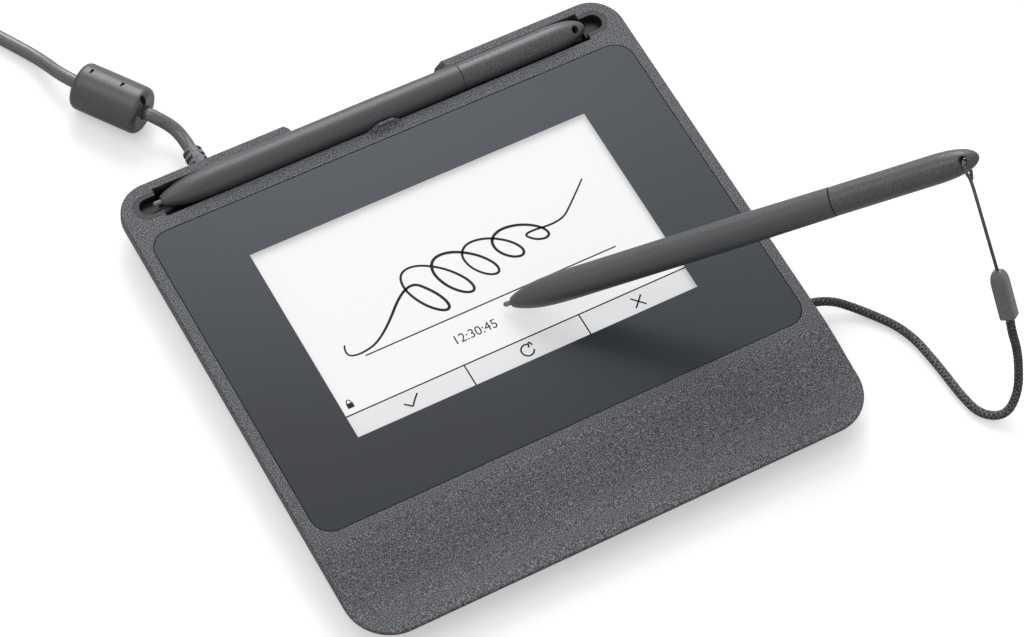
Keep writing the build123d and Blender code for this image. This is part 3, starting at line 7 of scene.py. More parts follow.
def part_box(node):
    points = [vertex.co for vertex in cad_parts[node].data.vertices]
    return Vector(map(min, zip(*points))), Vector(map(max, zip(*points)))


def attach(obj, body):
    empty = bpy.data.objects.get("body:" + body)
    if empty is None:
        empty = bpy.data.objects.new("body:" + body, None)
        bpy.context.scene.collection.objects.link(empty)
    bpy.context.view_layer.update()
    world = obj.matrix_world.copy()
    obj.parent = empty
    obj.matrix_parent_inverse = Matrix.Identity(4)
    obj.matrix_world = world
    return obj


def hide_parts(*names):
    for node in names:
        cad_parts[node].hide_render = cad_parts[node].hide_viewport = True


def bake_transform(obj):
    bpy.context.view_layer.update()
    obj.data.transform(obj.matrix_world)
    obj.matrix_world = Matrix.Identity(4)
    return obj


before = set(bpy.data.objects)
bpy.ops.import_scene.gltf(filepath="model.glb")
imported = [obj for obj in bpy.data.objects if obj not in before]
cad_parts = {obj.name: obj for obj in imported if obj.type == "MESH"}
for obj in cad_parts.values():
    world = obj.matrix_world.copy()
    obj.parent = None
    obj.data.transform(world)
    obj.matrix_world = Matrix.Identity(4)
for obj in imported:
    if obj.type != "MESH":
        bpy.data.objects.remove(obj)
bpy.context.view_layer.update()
scene = bpy.context.scene
scene.view_settings.view_transform = "Standard"
mm = 0.001


# The view: the pad lies on a pale table and is seen from the front left, from well above.
# The long lens stands about a metre away, so the sides of the case run nearly parallel.
camera_place = (-0.32077, -0.43855, 0.91357)
camera_right = (0.8711, -0.4846, 0.0799)
camera_up = (0.3832, 0.7725, 0.5064)
camera_back = (-0.3071, -0.4105, 0.8586)
lens = bpy.data.cameras.new("view_camera")
lens.sensor_width = 36
lens.lens = 132.57
lens.clip_start = 0.05
view_camera = bpy.data.objects.new("view_camera", lens)
columns = zip(camera_right, camera_up, camera_back, camera_place)
view_camera.matrix_world = Matrix([*map(list, columns), [0, 0, 0, 1]])
scene.collection.objects.link(view_camera)
scene.camera = view_camera


# The setting: a white table top under soft studio light. A wide lamp and a tall strip stand behind
# the pad, a weaker lamp hangs over its left, and the rest of the light comes from all round.
table_reach = 3.0
table_lighting_grey, table_shown_grey = 0.35, 0.9
table_shown_glow = 0.4
light_all_round = 0.42


def shown_rays(nodes, links):
    """The light path of a ray, and the greatest of its camera, transmission and glossy shares:
    one where the ray shows the background, nought where it only carries light to the pad."""
    rays = nodes.new("ShaderNodeLightPath")
    shown = rays.outputs["Is Camera Ray"]
    for kind in ("Is Transmission Ray", "Is Glossy Ray"):
        greater = nodes.new("ShaderNodeMath")
        greater.operation = "MAXIMUM"
        links.new(shown, greater.inputs[0])
        links.new(rays.outputs[kind], greater.inputs[1])
        shown = greater.outputs[0]
    return rays, shown


table = bpy.data.meshes.new("table_top")
sides = ((-1, -1), (1, -1), (1, 1), (-1, 1))
table.from_pydata([(x * table_reach, y * table_reach, 0) for x, y in sides], [], [(0, 1, 2, 3)])
table_top = bpy.data.objects.new("table_top", table)
scene.collection.objects.link(table_top)
table_paint = bpy.data.materials.new("table_paint")
table_paint.use_nodes = True
nodes, links = table_paint.node_tree.nodes, table_paint.node_tree.links
matt = nodes["Principled BSDF"]
matt.inputs["Roughness"].default_value = 0.9
matt.inputs["Specular IOR Level"].default_value = 0.1
matt.inputs["Emission Color"].default_value = (1, 1, 1, 1)
rays, shown = shown_rays(nodes, links)
glow = nodes.new("ShaderNodeMapRange")
glow.inputs["To Max"].default_value = table_shown_glow
links.new(rays.outputs["Is Camera Ray"], glow.inputs["Value"])
links.new(glow.outputs["Result"], matt.inputs["Emission Strength"])
paint = nodes.new("ShaderNodeValToRGB")
paint.color_ramp.elements[0].color = (*[table_lighting_grey] * 3, 1)
paint.color_ramp.elements[1].color = (*[table_shown_grey] * 3, 1)
links.new(shown, paint.inputs["Fac"])
links.new(paint.outputs["Color"], matt.inputs["Base Color"])
table.materials.append(table_paint)

surroundings = bpy.data.worlds.new("surroundings")
surroundings.use_nodes = True
scene.world = surroundings
nodes, links = surroundings.node_tree.nodes, surroundings.node_tree.links
rays, shown = shown_rays(nodes, links)
level = nodes.new("ShaderNodeMapRange")
level.inputs["To Min"].default_value = light_all_round
level.inputs["To Max"].default_value = 1.0
links.new(shown, level.inputs["Value"])
links.new(level.outputs["Result"], nodes["Background"].inputs["Strength"])
nodes["Background"].inputs["Color"].default_value = (1, 1, 1, 1)


def soft_lamp(name, place, width, depth, power):
    """A white rectangular lamp at a place, facing the middle of the pad."""
    lamp = bpy.data.lights.new(name, "AREA")
    lamp.shape = "RECTANGLE"
    lamp.size, lamp.size_y = width, depth
    lamp.energy = power
    holder = bpy.data.objects.new(name, lamp)
    turn = (-Vector(place).normalized()).to_track_quat("-Z", "Y").to_matrix().to_4x4()
    holder.matrix_world = Matrix.Translation(place) @ turn
    scene.collection.objects.link(holder)


soft_lamp("rear_softbox", (0.5, 1.1, 0.9), 1.6, 1.2, 9)
soft_lamp("rear_strip", (0.45, 1.05, 0.85), 0.32, 1.1, 5.5)
soft_lamp("left_softbox", (-0.5, 0.15, 1.2), 0.8, 0.6, 2.5)


# Data cable: a round jacketed lead that runs from the boot at the rear of the case through the
# ferrite, winds into its put-away coil and ends in the plug. Its points are in metres.
coil_centre = np.array((-123.0, 184.0)) * mm
coil_outer_radius = 29.61875 * mm
coil_pitch = 4.45 * mm
coil_low = 2.05 * mm
turns_per_layer = 2.75
coil_layers = 4
points_per_turn = 16
radius_kept = 0.9905


def coil_points():
    """Control points of the coil: the radius falls and rises by one pitch a turn, layer by
    layer, and the height climbs a pitch in the half turn round each reversal. The smooth line
    keeps a share of the radius of its points, so they stand that much further out."""
    turn = np.arange(round(coil_layers * turns_per_layer * points_per_turn) + 1) / points_per_turn
    layer = np.minimum(np.floor(turn / turns_per_layer), coil_layers - 1)
    along = turn - layer * turns_per_layer
    run_in = np.where(layer % 2 == 0, along, turns_per_layer - along)
    radius = (coil_outer_radius - run_in * coil_pitch) / radius_kept
    height = np.full_like(turn, coil_low)
    for reversal in range(1, coil_layers):
        rise = np.clip((turn - reversal * turns_per_layer) * 2 + 0.5, 0, 1)
        height += coil_pitch * rise * rise * (3 - 2 * rise)
    angle = 2 * math.pi * turn
    x = coil_centre[0] + radius * np.cos(angle)
    y = coil_centre[1] + radius * np.sin(angle)
    return np.stack([x, y, height], axis=1)


def heading(turn, rise):
    """The direction at an angle round the upright and another above the level, one unit long."""
    level = math.cos(rise)
    return np.array((math.cos(turn) * level, math.sin(turn) * level, math.sin(rise)))


ferrite_near = np.array((-58.17, 101.07, 8.092)) * mm
ferrite_heading = heading(math.radians(124.51), -math.radians(2.92))
cable_start = np.array([(-51.2, 85.6, 4.9), (-51.2, 89.8, 4.9), (-52.6, 94.5, 6.1)]) * mm
past_ferrite_face = np.array([-2.6, 0.4, 10.8, 26.35])
cable_through = ferrite_near + ferrite_heading * past_ferrite_face[:, None] * mm
cable_out = np.array([
    (-75.6, 133.8, 3.0), (-80.4, 143.0, 2.05), (-88.6, 156.4, 2.05), (-92.93, 165.0, 2.05),
    (-93.19, 175.9, 2.05),
]) * mm
cable_end = np.array([
    (-93.48, 188.4, 15.4), (-93.7, 197.2, 15.4), (-92.2, 207.3, 11.6), (-94.2, 216.8, 6.6),
    (-100.2, 225.2, 3.6), (-109.2, 230.0, 4.1), (-119.0, 230.0, 4.1),
]) * mm
cable_route = np.concatenate([
    cable_start, cable_through, cable_out, coil_points()[:-1], cable_end,
])


def cord_curve(name, points, radius):
    """One open NURBS curve of order three through the pull of its control points, with a round
    section. With no radius it is the bare centre line."""
    curve = bpy.data.curves.new(name, "CURVE")
    curve.dimensions = "3D"
    spline = curve.splines.new("NURBS")
    spline.points.add(len(points) - 1)
    spline.points.foreach_set("co", np.column_stack([points, np.ones(len(points))]).ravel())
    spline.order_u = 3
    spline.use_endpoint_u = True
    spline.resolution_u = 8
    spline.use_smooth = True
    curve.bevel_depth = radius
    curve.bevel_resolution = 4
    curve.use_fill_caps = True
    piece = bpy.data.objects.new(name, curve)
    scene.collection.objects.link(piece)
    return piece


def colour_of(text):
    """A colour written as six hexadecimal digits, turned from display values to linear light: a
    straight run near black, and a power of 2.4 above it."""
    value = np.array([int(text[i:i + 2], 16) for i in (0, 2, 4)]) / 255
    linear = np.where(value <= 0.04045, value / 12.92, ((value + 0.055) / 1.055) ** 2.4)
    return (*linear.tolist(), 1.0)


def new_material(name, roughness, specular):
    """A material with its shader's gloss set, and the object's own coordinates for patterns."""
    material = bpy.data.materials.new(name)
    material.use_nodes = True
    nodes, links = material.node_tree.nodes, material.node_tree.links
    shader = nodes["Principled BSDF"]
    shader.inputs["Roughness"].default_value = roughness
    shader.inputs["Specular IOR Level"].default_value = specular
    place = nodes.new("ShaderNodeTexCoord")
    return material, nodes, links, shader, place.outputs["Object"]


def speckle(nodes, links, coordinates, scale, stops, detail=2.0, rough=0.6):
    """Noise at a scale in cells per metre, coloured by a ramp of (position, colour) stops."""
    noise = nodes.new("ShaderNodeTexNoise")
    noise.inputs["Scale"].default_value = scale
    noise.inputs["Detail"].default_value = detail
    noise.inputs["Roughness"].default_value = rough
    links.new(coordinates, noise.inputs["Vector"])
    ramp = nodes.new("ShaderNodeValToRGB")
    elements = ramp.color_ramp.elements
    elements[0].position, elements[0].color = stops[0]
    elements[1].position, elements[1].color = stops[-1]
    for position, colour in stops[1:-1]:
        elements.new(position).color = colour
    links.new(noise.outputs["Fac"], ramp.inputs["Fac"])
    return noise.outputs["Fac"], ramp.outputs["Color"]


def add_bump(nodes, links, shader, height, strength, distance):
    """Relief from a height pattern, as deep as the distance in metres."""
    bump = nodes.new("ShaderNodeBump")
    bump.inputs["Strength"].default_value = strength
    bump.inputs["Distance"].default_value = distance
    links.new(height, bump.inputs["Height"])
    links.new(bump.outputs["Normal"], shader.inputs["Normal"])


def two_tone(name, low, high, roughness, cells=900, relief=0.00004, specular=0.45, strength=0.2):
    """A finish of two close tones: noise, in so many cells a metre, runs the colour from low to
    high, and lifts the surface by up to the relief in metres."""
    material, nodes, links, shader, where = new_material(name, roughness, specular)
    stops = [(0.3, colour_of(low)), (0.7, colour_of(high))]
    grain, tint = speckle(nodes, links, where, cells, stops)
    links.new(tint, shader.inputs["Base Color"])
    if relief:
        add_bump(nodes, links, shader, grain, strength, relief)
    return material


cable_skin = two_tone(
    "cable_jacket", "4c4d52", "5f6065", 0.24, relief=0.00005, specular=0.8, strength=0.15,
)
data_cable = cord_curve("data_cable", cable_route, 2.0 * mm)
data_cable.data.materials.append(cable_skin)
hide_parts("usb_cable", "usb_cable_coil", "usb_cable_end")
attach(data_cable, "pad")


# Tether: a thick braided cord from the grommet in the right wall, lying partly on the table, to
# a moulded lock that grips both cords. A thin braided cord goes on to a knot and through the
# pen's eyelet.
tether_points = np.array([
    (80.2, -37.3, 5.3), (87.2, -37.7, 4.9), (96.8, -44.9, 1.35), (104.6, -56.0, 1.35),
    (106.4, -69.6, 1.35), (107.0, -80.6, 1.35), (108.5, -88.4, 1.35), (114.4, -92.5, 2.2),
    (119.5, -89.5, 6.8), (121.1, -84.5, 14.4), (120.3, -82.1, 21.0), (118.6, -80.3, 27.0),
    (118.9, -77.4, 30.5),
]) * mm
lock_top = np.array((118.5, -67.6, 41.7)) * mm
glass_top = 11.2
nib_radius, nib_gap = 0.75, 0.1
pen_lean = math.radians(28.16)
eyelet_turn = math.radians(30)
eyelet_distance = 136 * mm
knot_drop = 5.3 * mm
tip_height = glass_top + nib_gap + nib_radius * (1 - math.sin(pen_lean))
pen_tip = np.array((1.8, -2.45, tip_height)) * mm
pen_along = heading(math.radians(-22.96), pen_lean)
pen_raised = np.array((0, 0, 1)) - pen_along * pen_along[2]
pen_raised /= np.linalg.norm(pen_raised)
pen_sideways = np.cross(pen_along, pen_raised)
eyelet_axis = pen_raised * math.cos(eyelet_turn) + pen_sideways * math.sin(eyelet_turn)
eyelet_drop = np.cross(pen_along, eyelet_axis)
eyelet = pen_tip + pen_along * eyelet_distance
knot = eyelet + eyelet_drop * knot_drop


def centre_line(points, samples):
    """Points at even steps along the smooth NURBS line of a route, read back from the curve."""
    guide = cord_curve("centre_line", points, 0)
    guide.data.splines[0].resolution_u = 24
    line = bpy.data.meshes.new_from_object(guide)
    place = np.empty(len(line.vertices) * 3)
    line.vertices.foreach_get("co", place)
    place = place.reshape(-1, 3)
    bpy.data.objects.remove(guide)
    bpy.data.meshes.remove(line)
    step = np.concatenate([[0], np.cumsum(np.linalg.norm(np.diff(place, axis=0), axis=1))])
    even = np.linspace(0, step[-1], samples)
    return np.stack([np.interp(even, step, place[:, axis]) for axis in range(3)], axis=1), step[-1]


def ring_skin(name, body, run):
    """A closed skin over rings of points: body[i, j] is vertex j of ring i, and each end closes on
    the middle of its ring. The UV map holds the way along in metres and the share round."""
    rings, around = body.shape[:2]
    middles = [body[0].mean(axis=0, keepdims=True), body[-1].mean(axis=0, keepdims=True)]
    verts = np.concatenate([body.reshape(-1, 3), *middles])
    ring, spot = np.meshgrid(np.arange(rings - 1), np.arange(around), indexing="ij")
    beside = (spot + 1) % around
    near, far = ring * around, (ring + 1) * around
    quads = np.stack([near + spot, near + beside, far + beside, far + spot], axis=-1).reshape(-1, 4)
    spot = np.arange(around)
    beside = (spot + 1) % around
    first, last = rings * around, (rings - 1) * around
    low = np.stack([np.full(around, first), beside, spot], axis=-1)
    high = np.stack([np.full(around, first + 1), last + spot, last + beside], axis=-1)
    mesh = bpy.data.meshes.new(name)
    mesh.from_pydata(verts.tolist(), [], quads.tolist() + low.tolist() + high.tolist())
    mesh.polygons.foreach_set("use_smooth", np.ones(len(mesh.polygons), dtype=bool))
    u = run[quads // around]
    v = (quads % around) / around
    v[:, 1:3] = np.where(v[:, 1:3] == 0, 1, v[:, 1:3])
    skin_map = np.stack([u, v], axis=-1).reshape(-1, 2)
    cap_map = np.zeros((2 * around * 3, 2))
    layer = mesh.uv_layers.new(name="along")
    layer.data.foreach_set("uv", np.concatenate([skin_map, cap_map]).ravel())
    mesh.update()
    piece = bpy.data.objects.new(name, mesh)
    scene.collection.objects.link(piece)
    return piece


def tube_mesh(name, path, radius, away):
    """A closed tube: ring i stands at path point i, and vertex j of it at radius[i, j] in the
    direction cos(angle) side + sin(angle) up. Side is square to the path and to the direction
    away, which the path never runs along."""
    tangent = np.gradient(path, axis=0)
    tangent /= np.linalg.norm(tangent, axis=1, keepdims=True)
    side = np.cross(tangent, away)
    side /= np.linalg.norm(side, axis=1, keepdims=True)
    up = np.cross(tangent, side)
    angle = np.linspace(0, 2 * math.pi, radius.shape[1], endpoint=False)[None, :, None]
    spread = side[:, None] * np.cos(angle) + up[:, None] * np.sin(angle)
    run = np.concatenate([[0], np.cumsum(np.linalg.norm(np.diff(path, axis=0), axis=1))])
    return ring_skin(name, path[:, None] + spread * radius[:, :, None], run)


def braid_radius(length, rings, around, radius, lay, strands, depth):
    """Radius of a braided cord: two sets of strands wind round it both ways, one turn in each
    lay, and at every place the set on top stands out by the depth."""
    along = np.linspace(0, length, rings)[:, None] / lay
    turn = np.linspace(0, 1, around, endpoint=False)[None, :]
    one = np.abs(np.sin(math.pi * strands * (turn + along)))
    two = np.abs(np.sin(math.pi * strands * (turn - along)))
    over = 0.5 + 0.5 * np.sin(2 * math.pi * strands * along) * np.sin(2 * math.pi * strands * turn)
    return radius - depth + depth * (one * over + two * (1 - over))


def braid_material(name, dark, pale, strands_per_metre, strands_round):
    """Woven cord on its own UV map: squares with threads that slant one way lie between squares
    with threads that slant the other way, and noise wears the threads pale in places."""
    material, nodes, links, shader, where = new_material(name, 0.55, 0.4)
    uv = nodes.new("ShaderNodeUVMap")
    uv.uv_map = "along"
    patterns = []
    for slant in (1, -1):
        spot = nodes.new("ShaderNodeMapping")
        spot.inputs["Scale"].default_value = (strands_per_metre, strands_round * slant, 1)
        links.new(uv.outputs["UV"], spot.inputs["Vector"])
        wave = nodes.new("ShaderNodeTexWave")
        wave.wave_type = "BANDS"
        wave.bands_direction = "DIAGONAL"
        wave.inputs["Scale"].default_value = 0.3183
        wave.inputs["Distortion"].default_value = 1.2
        wave.inputs["Detail"].default_value = 1
        wave.inputs["Detail Scale"].default_value = 2
        links.new(spot.outputs["Vector"], wave.inputs["Vector"])
        patterns.append(wave.outputs["Fac"])
    squares = nodes.new("ShaderNodeTexChecker")
    squares.inputs["Scale"].default_value = 1
    links.new(spot.outputs["Vector"], squares.inputs["Vector"])
    cross = nodes.new("ShaderNodeMix")
    links.new(squares.outputs["Fac"], cross.inputs[0])
    links.new(patterns[0], cross.inputs[2])
    links.new(patterns[1], cross.inputs[3])
    worn = nodes.new("ShaderNodeTexNoise")
    worn.inputs["Scale"].default_value = 1400
    worn.inputs["Detail"].default_value = 1
    links.new(where, worn.inputs["Vector"])
    flecks = nodes.new("ShaderNodeMath")
    flecks.operation = "MULTIPLY"
    links.new(cross.outputs[0], flecks.inputs[0])
    links.new(worn.outputs["Fac"], flecks.inputs[1])
    ramp = nodes.new("ShaderNodeValToRGB")
    low, high = ramp.color_ramp.elements
    low.position, low.color = 0.2, colour_of(dark)
    high.position, high.color = 0.58, colour_of(pale)
    links.new(flecks.outputs[0], ramp.inputs["Fac"])
    links.new(ramp.outputs["Color"], shader.inputs["Base Color"])
    add_bump(nodes, links, shader, cross.outputs[0], 0.4, 0.00008)
    return material


thick_braid = braid_material("thick_braid", "161617", "7a7b7e", 1500, 8)
thin_braid = braid_material("thin_braid", "2a2a2b", "8c8d8e", 2400, 5)
thick_rings, thin_rings = 900, 420
path, length = centre_line(tether_points, thick_rings)
weave = braid_radius(
    length, thick_rings, around=32, radius=1.3 * mm, lay=9 * mm, strands=6, depth=0.2 * mm,
)
thick_cord = tube_mesh("tether_thick_cord", path, weave, away=(-0.75, 0, 0.66))
thick_cord.data.materials.append(thick_braid)
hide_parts("tether_cord")
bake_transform(thick_cord)

lock_half_width, lock_half_depth = 2.35, 1.95
lock_squareness = 9
lock_turn = math.radians(33)
lock_facing = (-0.3071, -0.4105, 0.8586)
dome_start, dome_power, dome_fall = 0.66, 2.6, 0.72
foot_height, foot_fall = 0.03, 0.1


def lock_radius(rings, around):
    """Radius of the moulded lock: a rounded square, the reach where the ninth powers of its two
    shares add up to one. The foot draws in a little, and the top falls in a dome as one less the
    root of one less a power of the share of the way up it."""
    run = np.linspace(0, 1, rings)[:, None]
    turn = np.linspace(0, 2 * math.pi, around, endpoint=False)[None, :] + lock_turn
    wide = (np.abs(np.cos(turn)) / lock_half_width) ** lock_squareness
    deep = (np.abs(np.sin(turn)) / lock_half_depth) ** lock_squareness
    square = (wide + deep) ** (-1 / lock_squareness)
    foot = np.clip(1 - run / foot_height, 0, 1) ** 2 * foot_fall
    risen = np.clip((run - dome_start) / (1 - dome_start), 0, 1)
    dome = dome_fall * (1 - np.sqrt(1 - risen ** dome_power))
    return square * (1 - foot - dome) * mm


lock_rings = 60
lock_run = np.linspace(tether_points[-1], lock_top, lock_rings)
lock_reach = lock_radius(lock_rings, around=96)
tether_lock = tube_mesh("tether_lock_body", lock_run, lock_reach, away=lock_facing)
lock_satin = two_tone("lock_satin", "55565a", "6b6c70", 0.3, 1600, 0.00003, specular=0.8)
tether_lock.data.materials.append(lock_satin)
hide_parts("tether_lock")
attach(tether_lock, "writing_pen")


def by_eyelet(across, down):
    """The point so many millimetres along the eyelet's axis from its middle, and down from it."""
    return eyelet + (eyelet_axis * across + eyelet_drop * down) * mm


stem = knot - lock_top
loop_route = np.array([
    lock_top, lock_top + stem * 0.33, lock_top + stem * 0.66, knot,
    by_eyelet(3.7, 3.9), by_eyelet(4.5, 0), by_eyelet(-4.5, 0), by_eyelet(-3.7, 3.9),
    by_eyelet(-1.3, 5.3),
])
path, length = centre_line(loop_route, thin_rings)
weave = braid_radius(
    length, thin_rings, around=16, radius=0.5 * mm, lay=4 * mm, strands=4, depth=0.07 * mm,
)
thin_cord = tube_mesh("tether_thin_cord", path, weave, away=pen_along)
thin_cord.data.materials.append(thin_braid)
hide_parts("tether_loop")
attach(thin_cord, "writing_pen")


# Top cover: a moulded shell in dark grey plastic with a fine sparkling grain all over. Its palm
# rest dips towards the front, and the glass lies in a shallow pocket behind it.
def dress(node, material):
    """Give a carried-over solid its finish through its own material slots."""
    thing = bpy.data.objects[node]
    if not thing.material_slots:
        thing.data.materials.append(material)
    for slot in thing.material_slots:
        slot.material = material


def grained_plastic(name, dark, middle, light, roughness, relief, cells=3400, specular=0.35):
    """Moulded plastic with a spark-eroded grain: noise colours it in three tones and lifts it."""
    material, nodes, links, shader, where = new_material(name, roughness, specular)
    stops = [(0.34, colour_of(dark)), (0.5, colour_of(middle)), (0.66, colour_of(light))]
    grain, tint = speckle(nodes, links, where, cells, stops, detail=1.0, rough=0.5)
    links.new(tint, shader.inputs["Base Color"])
    add_bump(nodes, links, shader, grain, 0.35, relief)
    return material


cover_plastic = grained_plastic("cover_plastic", "1c1d1f", "434447", "8d9096", 0.5, 0.00008)
dress("top_cover", cover_plastic)


# Bottom cover: the tub that carries everything, moulded in the same plastic with a duller, finer
# grain. It has four rubber feet in pockets and is closed with screws from below.
base_plastic = grained_plastic("base_plastic", "2b2b2c", "3a3b3c", "555658", 0.6, 0.00006, 2800)
dress("bottom_cover", base_plastic)

foot_rubber = two_tone(
    "foot_rubber", "1b1b1c", "2a2a2b", 0.85, 1500, 0.00008, specular=0.3, strength=0.3,
)
dress("rubber_feet", foot_rubber)


def plain_metal(name, low, high, roughness, cells, relief):
    """Plated or rolled metal: faint noise in its two tones and in its relief."""
    material = two_tone(name, low, high, roughness, cells, relief, specular=0.5)
    material.node_tree.nodes["Principled BSDF"].inputs["Metallic"].default_value = 1.0
    return material


screw_steel = plain_metal("screw_steel", "8f9193", "b3b5b6", 0.35, 1200, 0.00003)
dress("case_screws", screw_steel)
dress("board_screws", screw_steel)


# Pen tray: a satin trough moulded on its own and let into the cover, with a rimmed hollow at each
# end. Its colour is painted darker with depth below the rims, to nearly black on the floors:
# painted shade.
painted_shade_start, painted_shade_full = 0.5 * mm, 2.2 * mm
tray_top = float(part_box("pen_tray_liner")[1][2])
liner_plastic, nodes, links, shader, where = new_material("liner_plastic", 0.36, 0.3)
rim_stops = [(0.3, colour_of("2b2c2f")), (0.7, colour_of("3a3b3e"))]
grain, rim_tint = speckle(nodes, links, where, 1800, rim_stops)
# Painted shade: below the rim the colour runs down with height to nearly black on the floor of each
# hollow.
height = nodes.new("ShaderNodeSeparateXYZ")
links.new(where, height.inputs[0])
depth = nodes.new("ShaderNodeMapRange")
depth.inputs["From Min"].default_value = tray_top - painted_shade_full
depth.inputs["From Max"].default_value = tray_top - painted_shade_start
links.new(height.outputs["Z"], depth.inputs["Value"])
painted_hollow_shade = nodes.new("ShaderNodeMix")
painted_hollow_shade.data_type = "RGBA"
links.new(depth.outputs["Result"], painted_hollow_shade.inputs[0])
painted_hollow_shade.inputs[6].default_value = colour_of("0d0d0e")
links.new(rim_tint, painted_hollow_shade.inputs[7])
links.new(painted_hollow_shade.outputs[2], shader.inputs["Base Color"])
add_bump(nodes, links, shader, grain, 0.12, 0.00004)
dress("pen_tray_liner", liner_plastic)


# Cover glass: a flat pane with a slate border printed on its back and a clear window over the
# display. Its top is etched against glare, and the print's colour is painted lighter at the rear
# right: a painted reflection.
glass_middle = np.array((0.0, 11.15)) * mm
screen_half = np.array((54.0, 32.4)) * mm
pane_back = 0.00995
print_sharpness = 20000.0
clear_share = 0.03
painted_sheen_start, painted_sheen_end = -0.045, 0.075
painted_sheen_lean = 0.5
pane, nodes, links, shader, where = new_material("glass_pane", 0.3, 0.27)
split = nodes.new("ShaderNodeSeparateXYZ")
links.new(where, split.inputs[0])


def node_sum(operation, first, second, clamp=False):
    """One sum in the pane's shader: each term is a number or the output of a node."""
    sum_node = nodes.new("ShaderNodeMath")
    sum_node.operation = operation
    sum_node.use_clamp = clamp
    for term, socket in zip((first, second), sum_node.inputs):
        if isinstance(term, float):
            socket.default_value = term
        else:
            links.new(term, socket)
    return sum_node.outputs[0]


outside = []
for axis, middle, half in zip("XY", glass_middle, screen_half):
    offset = node_sum("SUBTRACT", split.outputs[axis], float(middle))
    outside.append(node_sum("SUBTRACT", node_sum("ABSOLUTE", offset, 0.0), float(half)))
border = node_sum("MULTIPLY", node_sum("MAXIMUM", *outside), print_sharpness, True)
above_back = node_sum("GREATER_THAN", split.outputs["Z"], pane_back)
alpha = node_sum("MAXIMUM", node_sum("MULTIPLY", border, above_back), clear_share)
links.new(alpha, shader.inputs["Alpha"])
# Painted reflection: the slate print's colour runs lighter towards the rear right, along Y plus
# half of X.
painted_sheen_slope = nodes.new("ShaderNodeMapRange")
painted_sheen_slope.inputs["From Min"].default_value = painted_sheen_start
painted_sheen_slope.inputs["From Max"].default_value = painted_sheen_end
painted_sheen_leaning = node_sum("MULTIPLY", split.outputs["X"], painted_sheen_lean)
links.new(node_sum("ADD", split.outputs["Y"], painted_sheen_leaning), painted_sheen_slope.inputs["Value"])
painted_sheen_ramp = nodes.new("ShaderNodeValToRGB")
painted_sheen_ramp.color_ramp.elements[0].color = colour_of("282c33")
painted_sheen_ramp.color_ramp.elements[1].color = colour_of("3c434b")
links.new(painted_sheen_slope.outputs["Result"], painted_sheen_ramp.inputs["Fac"])
links.new(painted_sheen_ramp.outputs["Color"], shader.inputs["Base Color"])
dress("cover_glass", pane)


# Display: a white page under the glass, lit from behind. A pale grey band along its foot holds
# three buttons, and the lines and marks are flat strips of ink a hair above the page.
page_level = 9.902 * mm
band_level = page_level + 0.01 * mm
ink_level = page_level + 0.02 * mm
page_x, page_y, band_y = 54.8, 33.3, -24.84
line_width, mark_width, bow_width = 0.42, 0.5, 0.3


def flat_piece(name, verts, faces, material):
    """A flat mesh at one level, which rides on the pad with the rest of the display."""
    mesh = bpy.data.meshes.new(name)
    mesh.from_pydata(verts.tolist(), [], faces.tolist())
    mesh.materials.append(material)
    piece = bpy.data.objects.new(name, mesh)
    scene.collection.objects.link(piece)
    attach(piece, "pad")
    return piece


def on_page(points, level):
    """Points in millimetres from the middle of the page, as points of the pad at a level."""
    points = np.asarray(points, dtype=float) * mm + glass_middle
    return np.column_stack([points, np.full(len(points), level)])


def page_plate(name, low, high, level, material):
    """A rectangle on the page between two corners, as a grid two millimetres fine."""
    x = np.linspace(low[0], high[0], max(2, int((high[0] - low[0]) / 2)))
    y = np.linspace(low[1], high[1], max(2, int((high[1] - low[1]) / 2)))
    grid_x, grid_y = np.meshgrid(x, y)
    column, row = np.meshgrid(np.arange(len(x) - 1), np.arange(len(y) - 1))
    first = (row * len(x) + column).ravel()
    faces = np.stack([first, first + 1, first + 1 + len(x), first + len(x)], axis=-1)
    points = np.column_stack([grid_x.ravel(), grid_y.ravel()])
    return flat_piece(name, on_page(points, level), faces, material)


def lit_paper(name, low, high, light):
    """The face of the display: matt, with a faint weave of pixels, and lit from behind."""
    material, nodes, links, shader, where = new_material(name, 0.6, 0.1)
    stops = [(0.2, colour_of(low)), (0.8, colour_of(high))]
    grain, tint = speckle(nodes, links, where, 2500, stops)
    links.new(tint, shader.inputs["Base Color"])
    shader.inputs["Emission Color"].default_value = colour_of(light)
    shader.inputs["Emission Strength"].default_value = 0.52
    add_bump(nodes, links, shader, grain, 0.05, 0.00001)
    return material


page_white = lit_paper("page_white", "c0c0c0", "c5c5c5", "fafafa")
button_grey = lit_paper("button_grey", "b5b5b6", "babbbc", "e9e9ea")
page_plate("page", (-page_x, -page_y), (page_x, page_y), page_level, page_white)
page_plate("button_band", (-page_x, -page_y), (page_x, band_y), band_level, button_grey)
ink = two_tone("ink", "050506", "0f0f10", 0.5, 3000, relief=0, specular=0.2)


def ink_strip(name, points, width):
    """A flat stroke: the NURBS line of the points, widened by half the width to each side of its
    tangent. A list of widths lets the stroke swell and thin as a pen does."""
    steps_per_point = 12
    line, _ = centre_line(on_page(points, ink_level), len(points) * steps_per_point)
    tangent = np.gradient(line, axis=0)
    tangent /= np.linalg.norm(tangent, axis=1, keepdims=True)
    side = np.stack([-tangent[:, 1], tangent[:, 0], np.zeros(len(line))], axis=1)
    share = np.linspace(0, 1, len(line))
    widths = np.interp(share, np.linspace(0, 1, np.size(width)), np.atleast_1d(width))
    half = side * widths[:, None] / 2 * mm
    verts = np.concatenate([line - half, line + half])
    first = np.arange(len(line) - 1)
    faces = np.stack([first, first + 1, first + 1 + len(line), first + len(line)], axis=-1)
    return flat_piece(name, verts, faces, ink)


def straight(start, end):
    """Three points of a straight stroke."""
    start, end = np.array(start), np.array(end)
    return [start, (start + end) / 2, end]


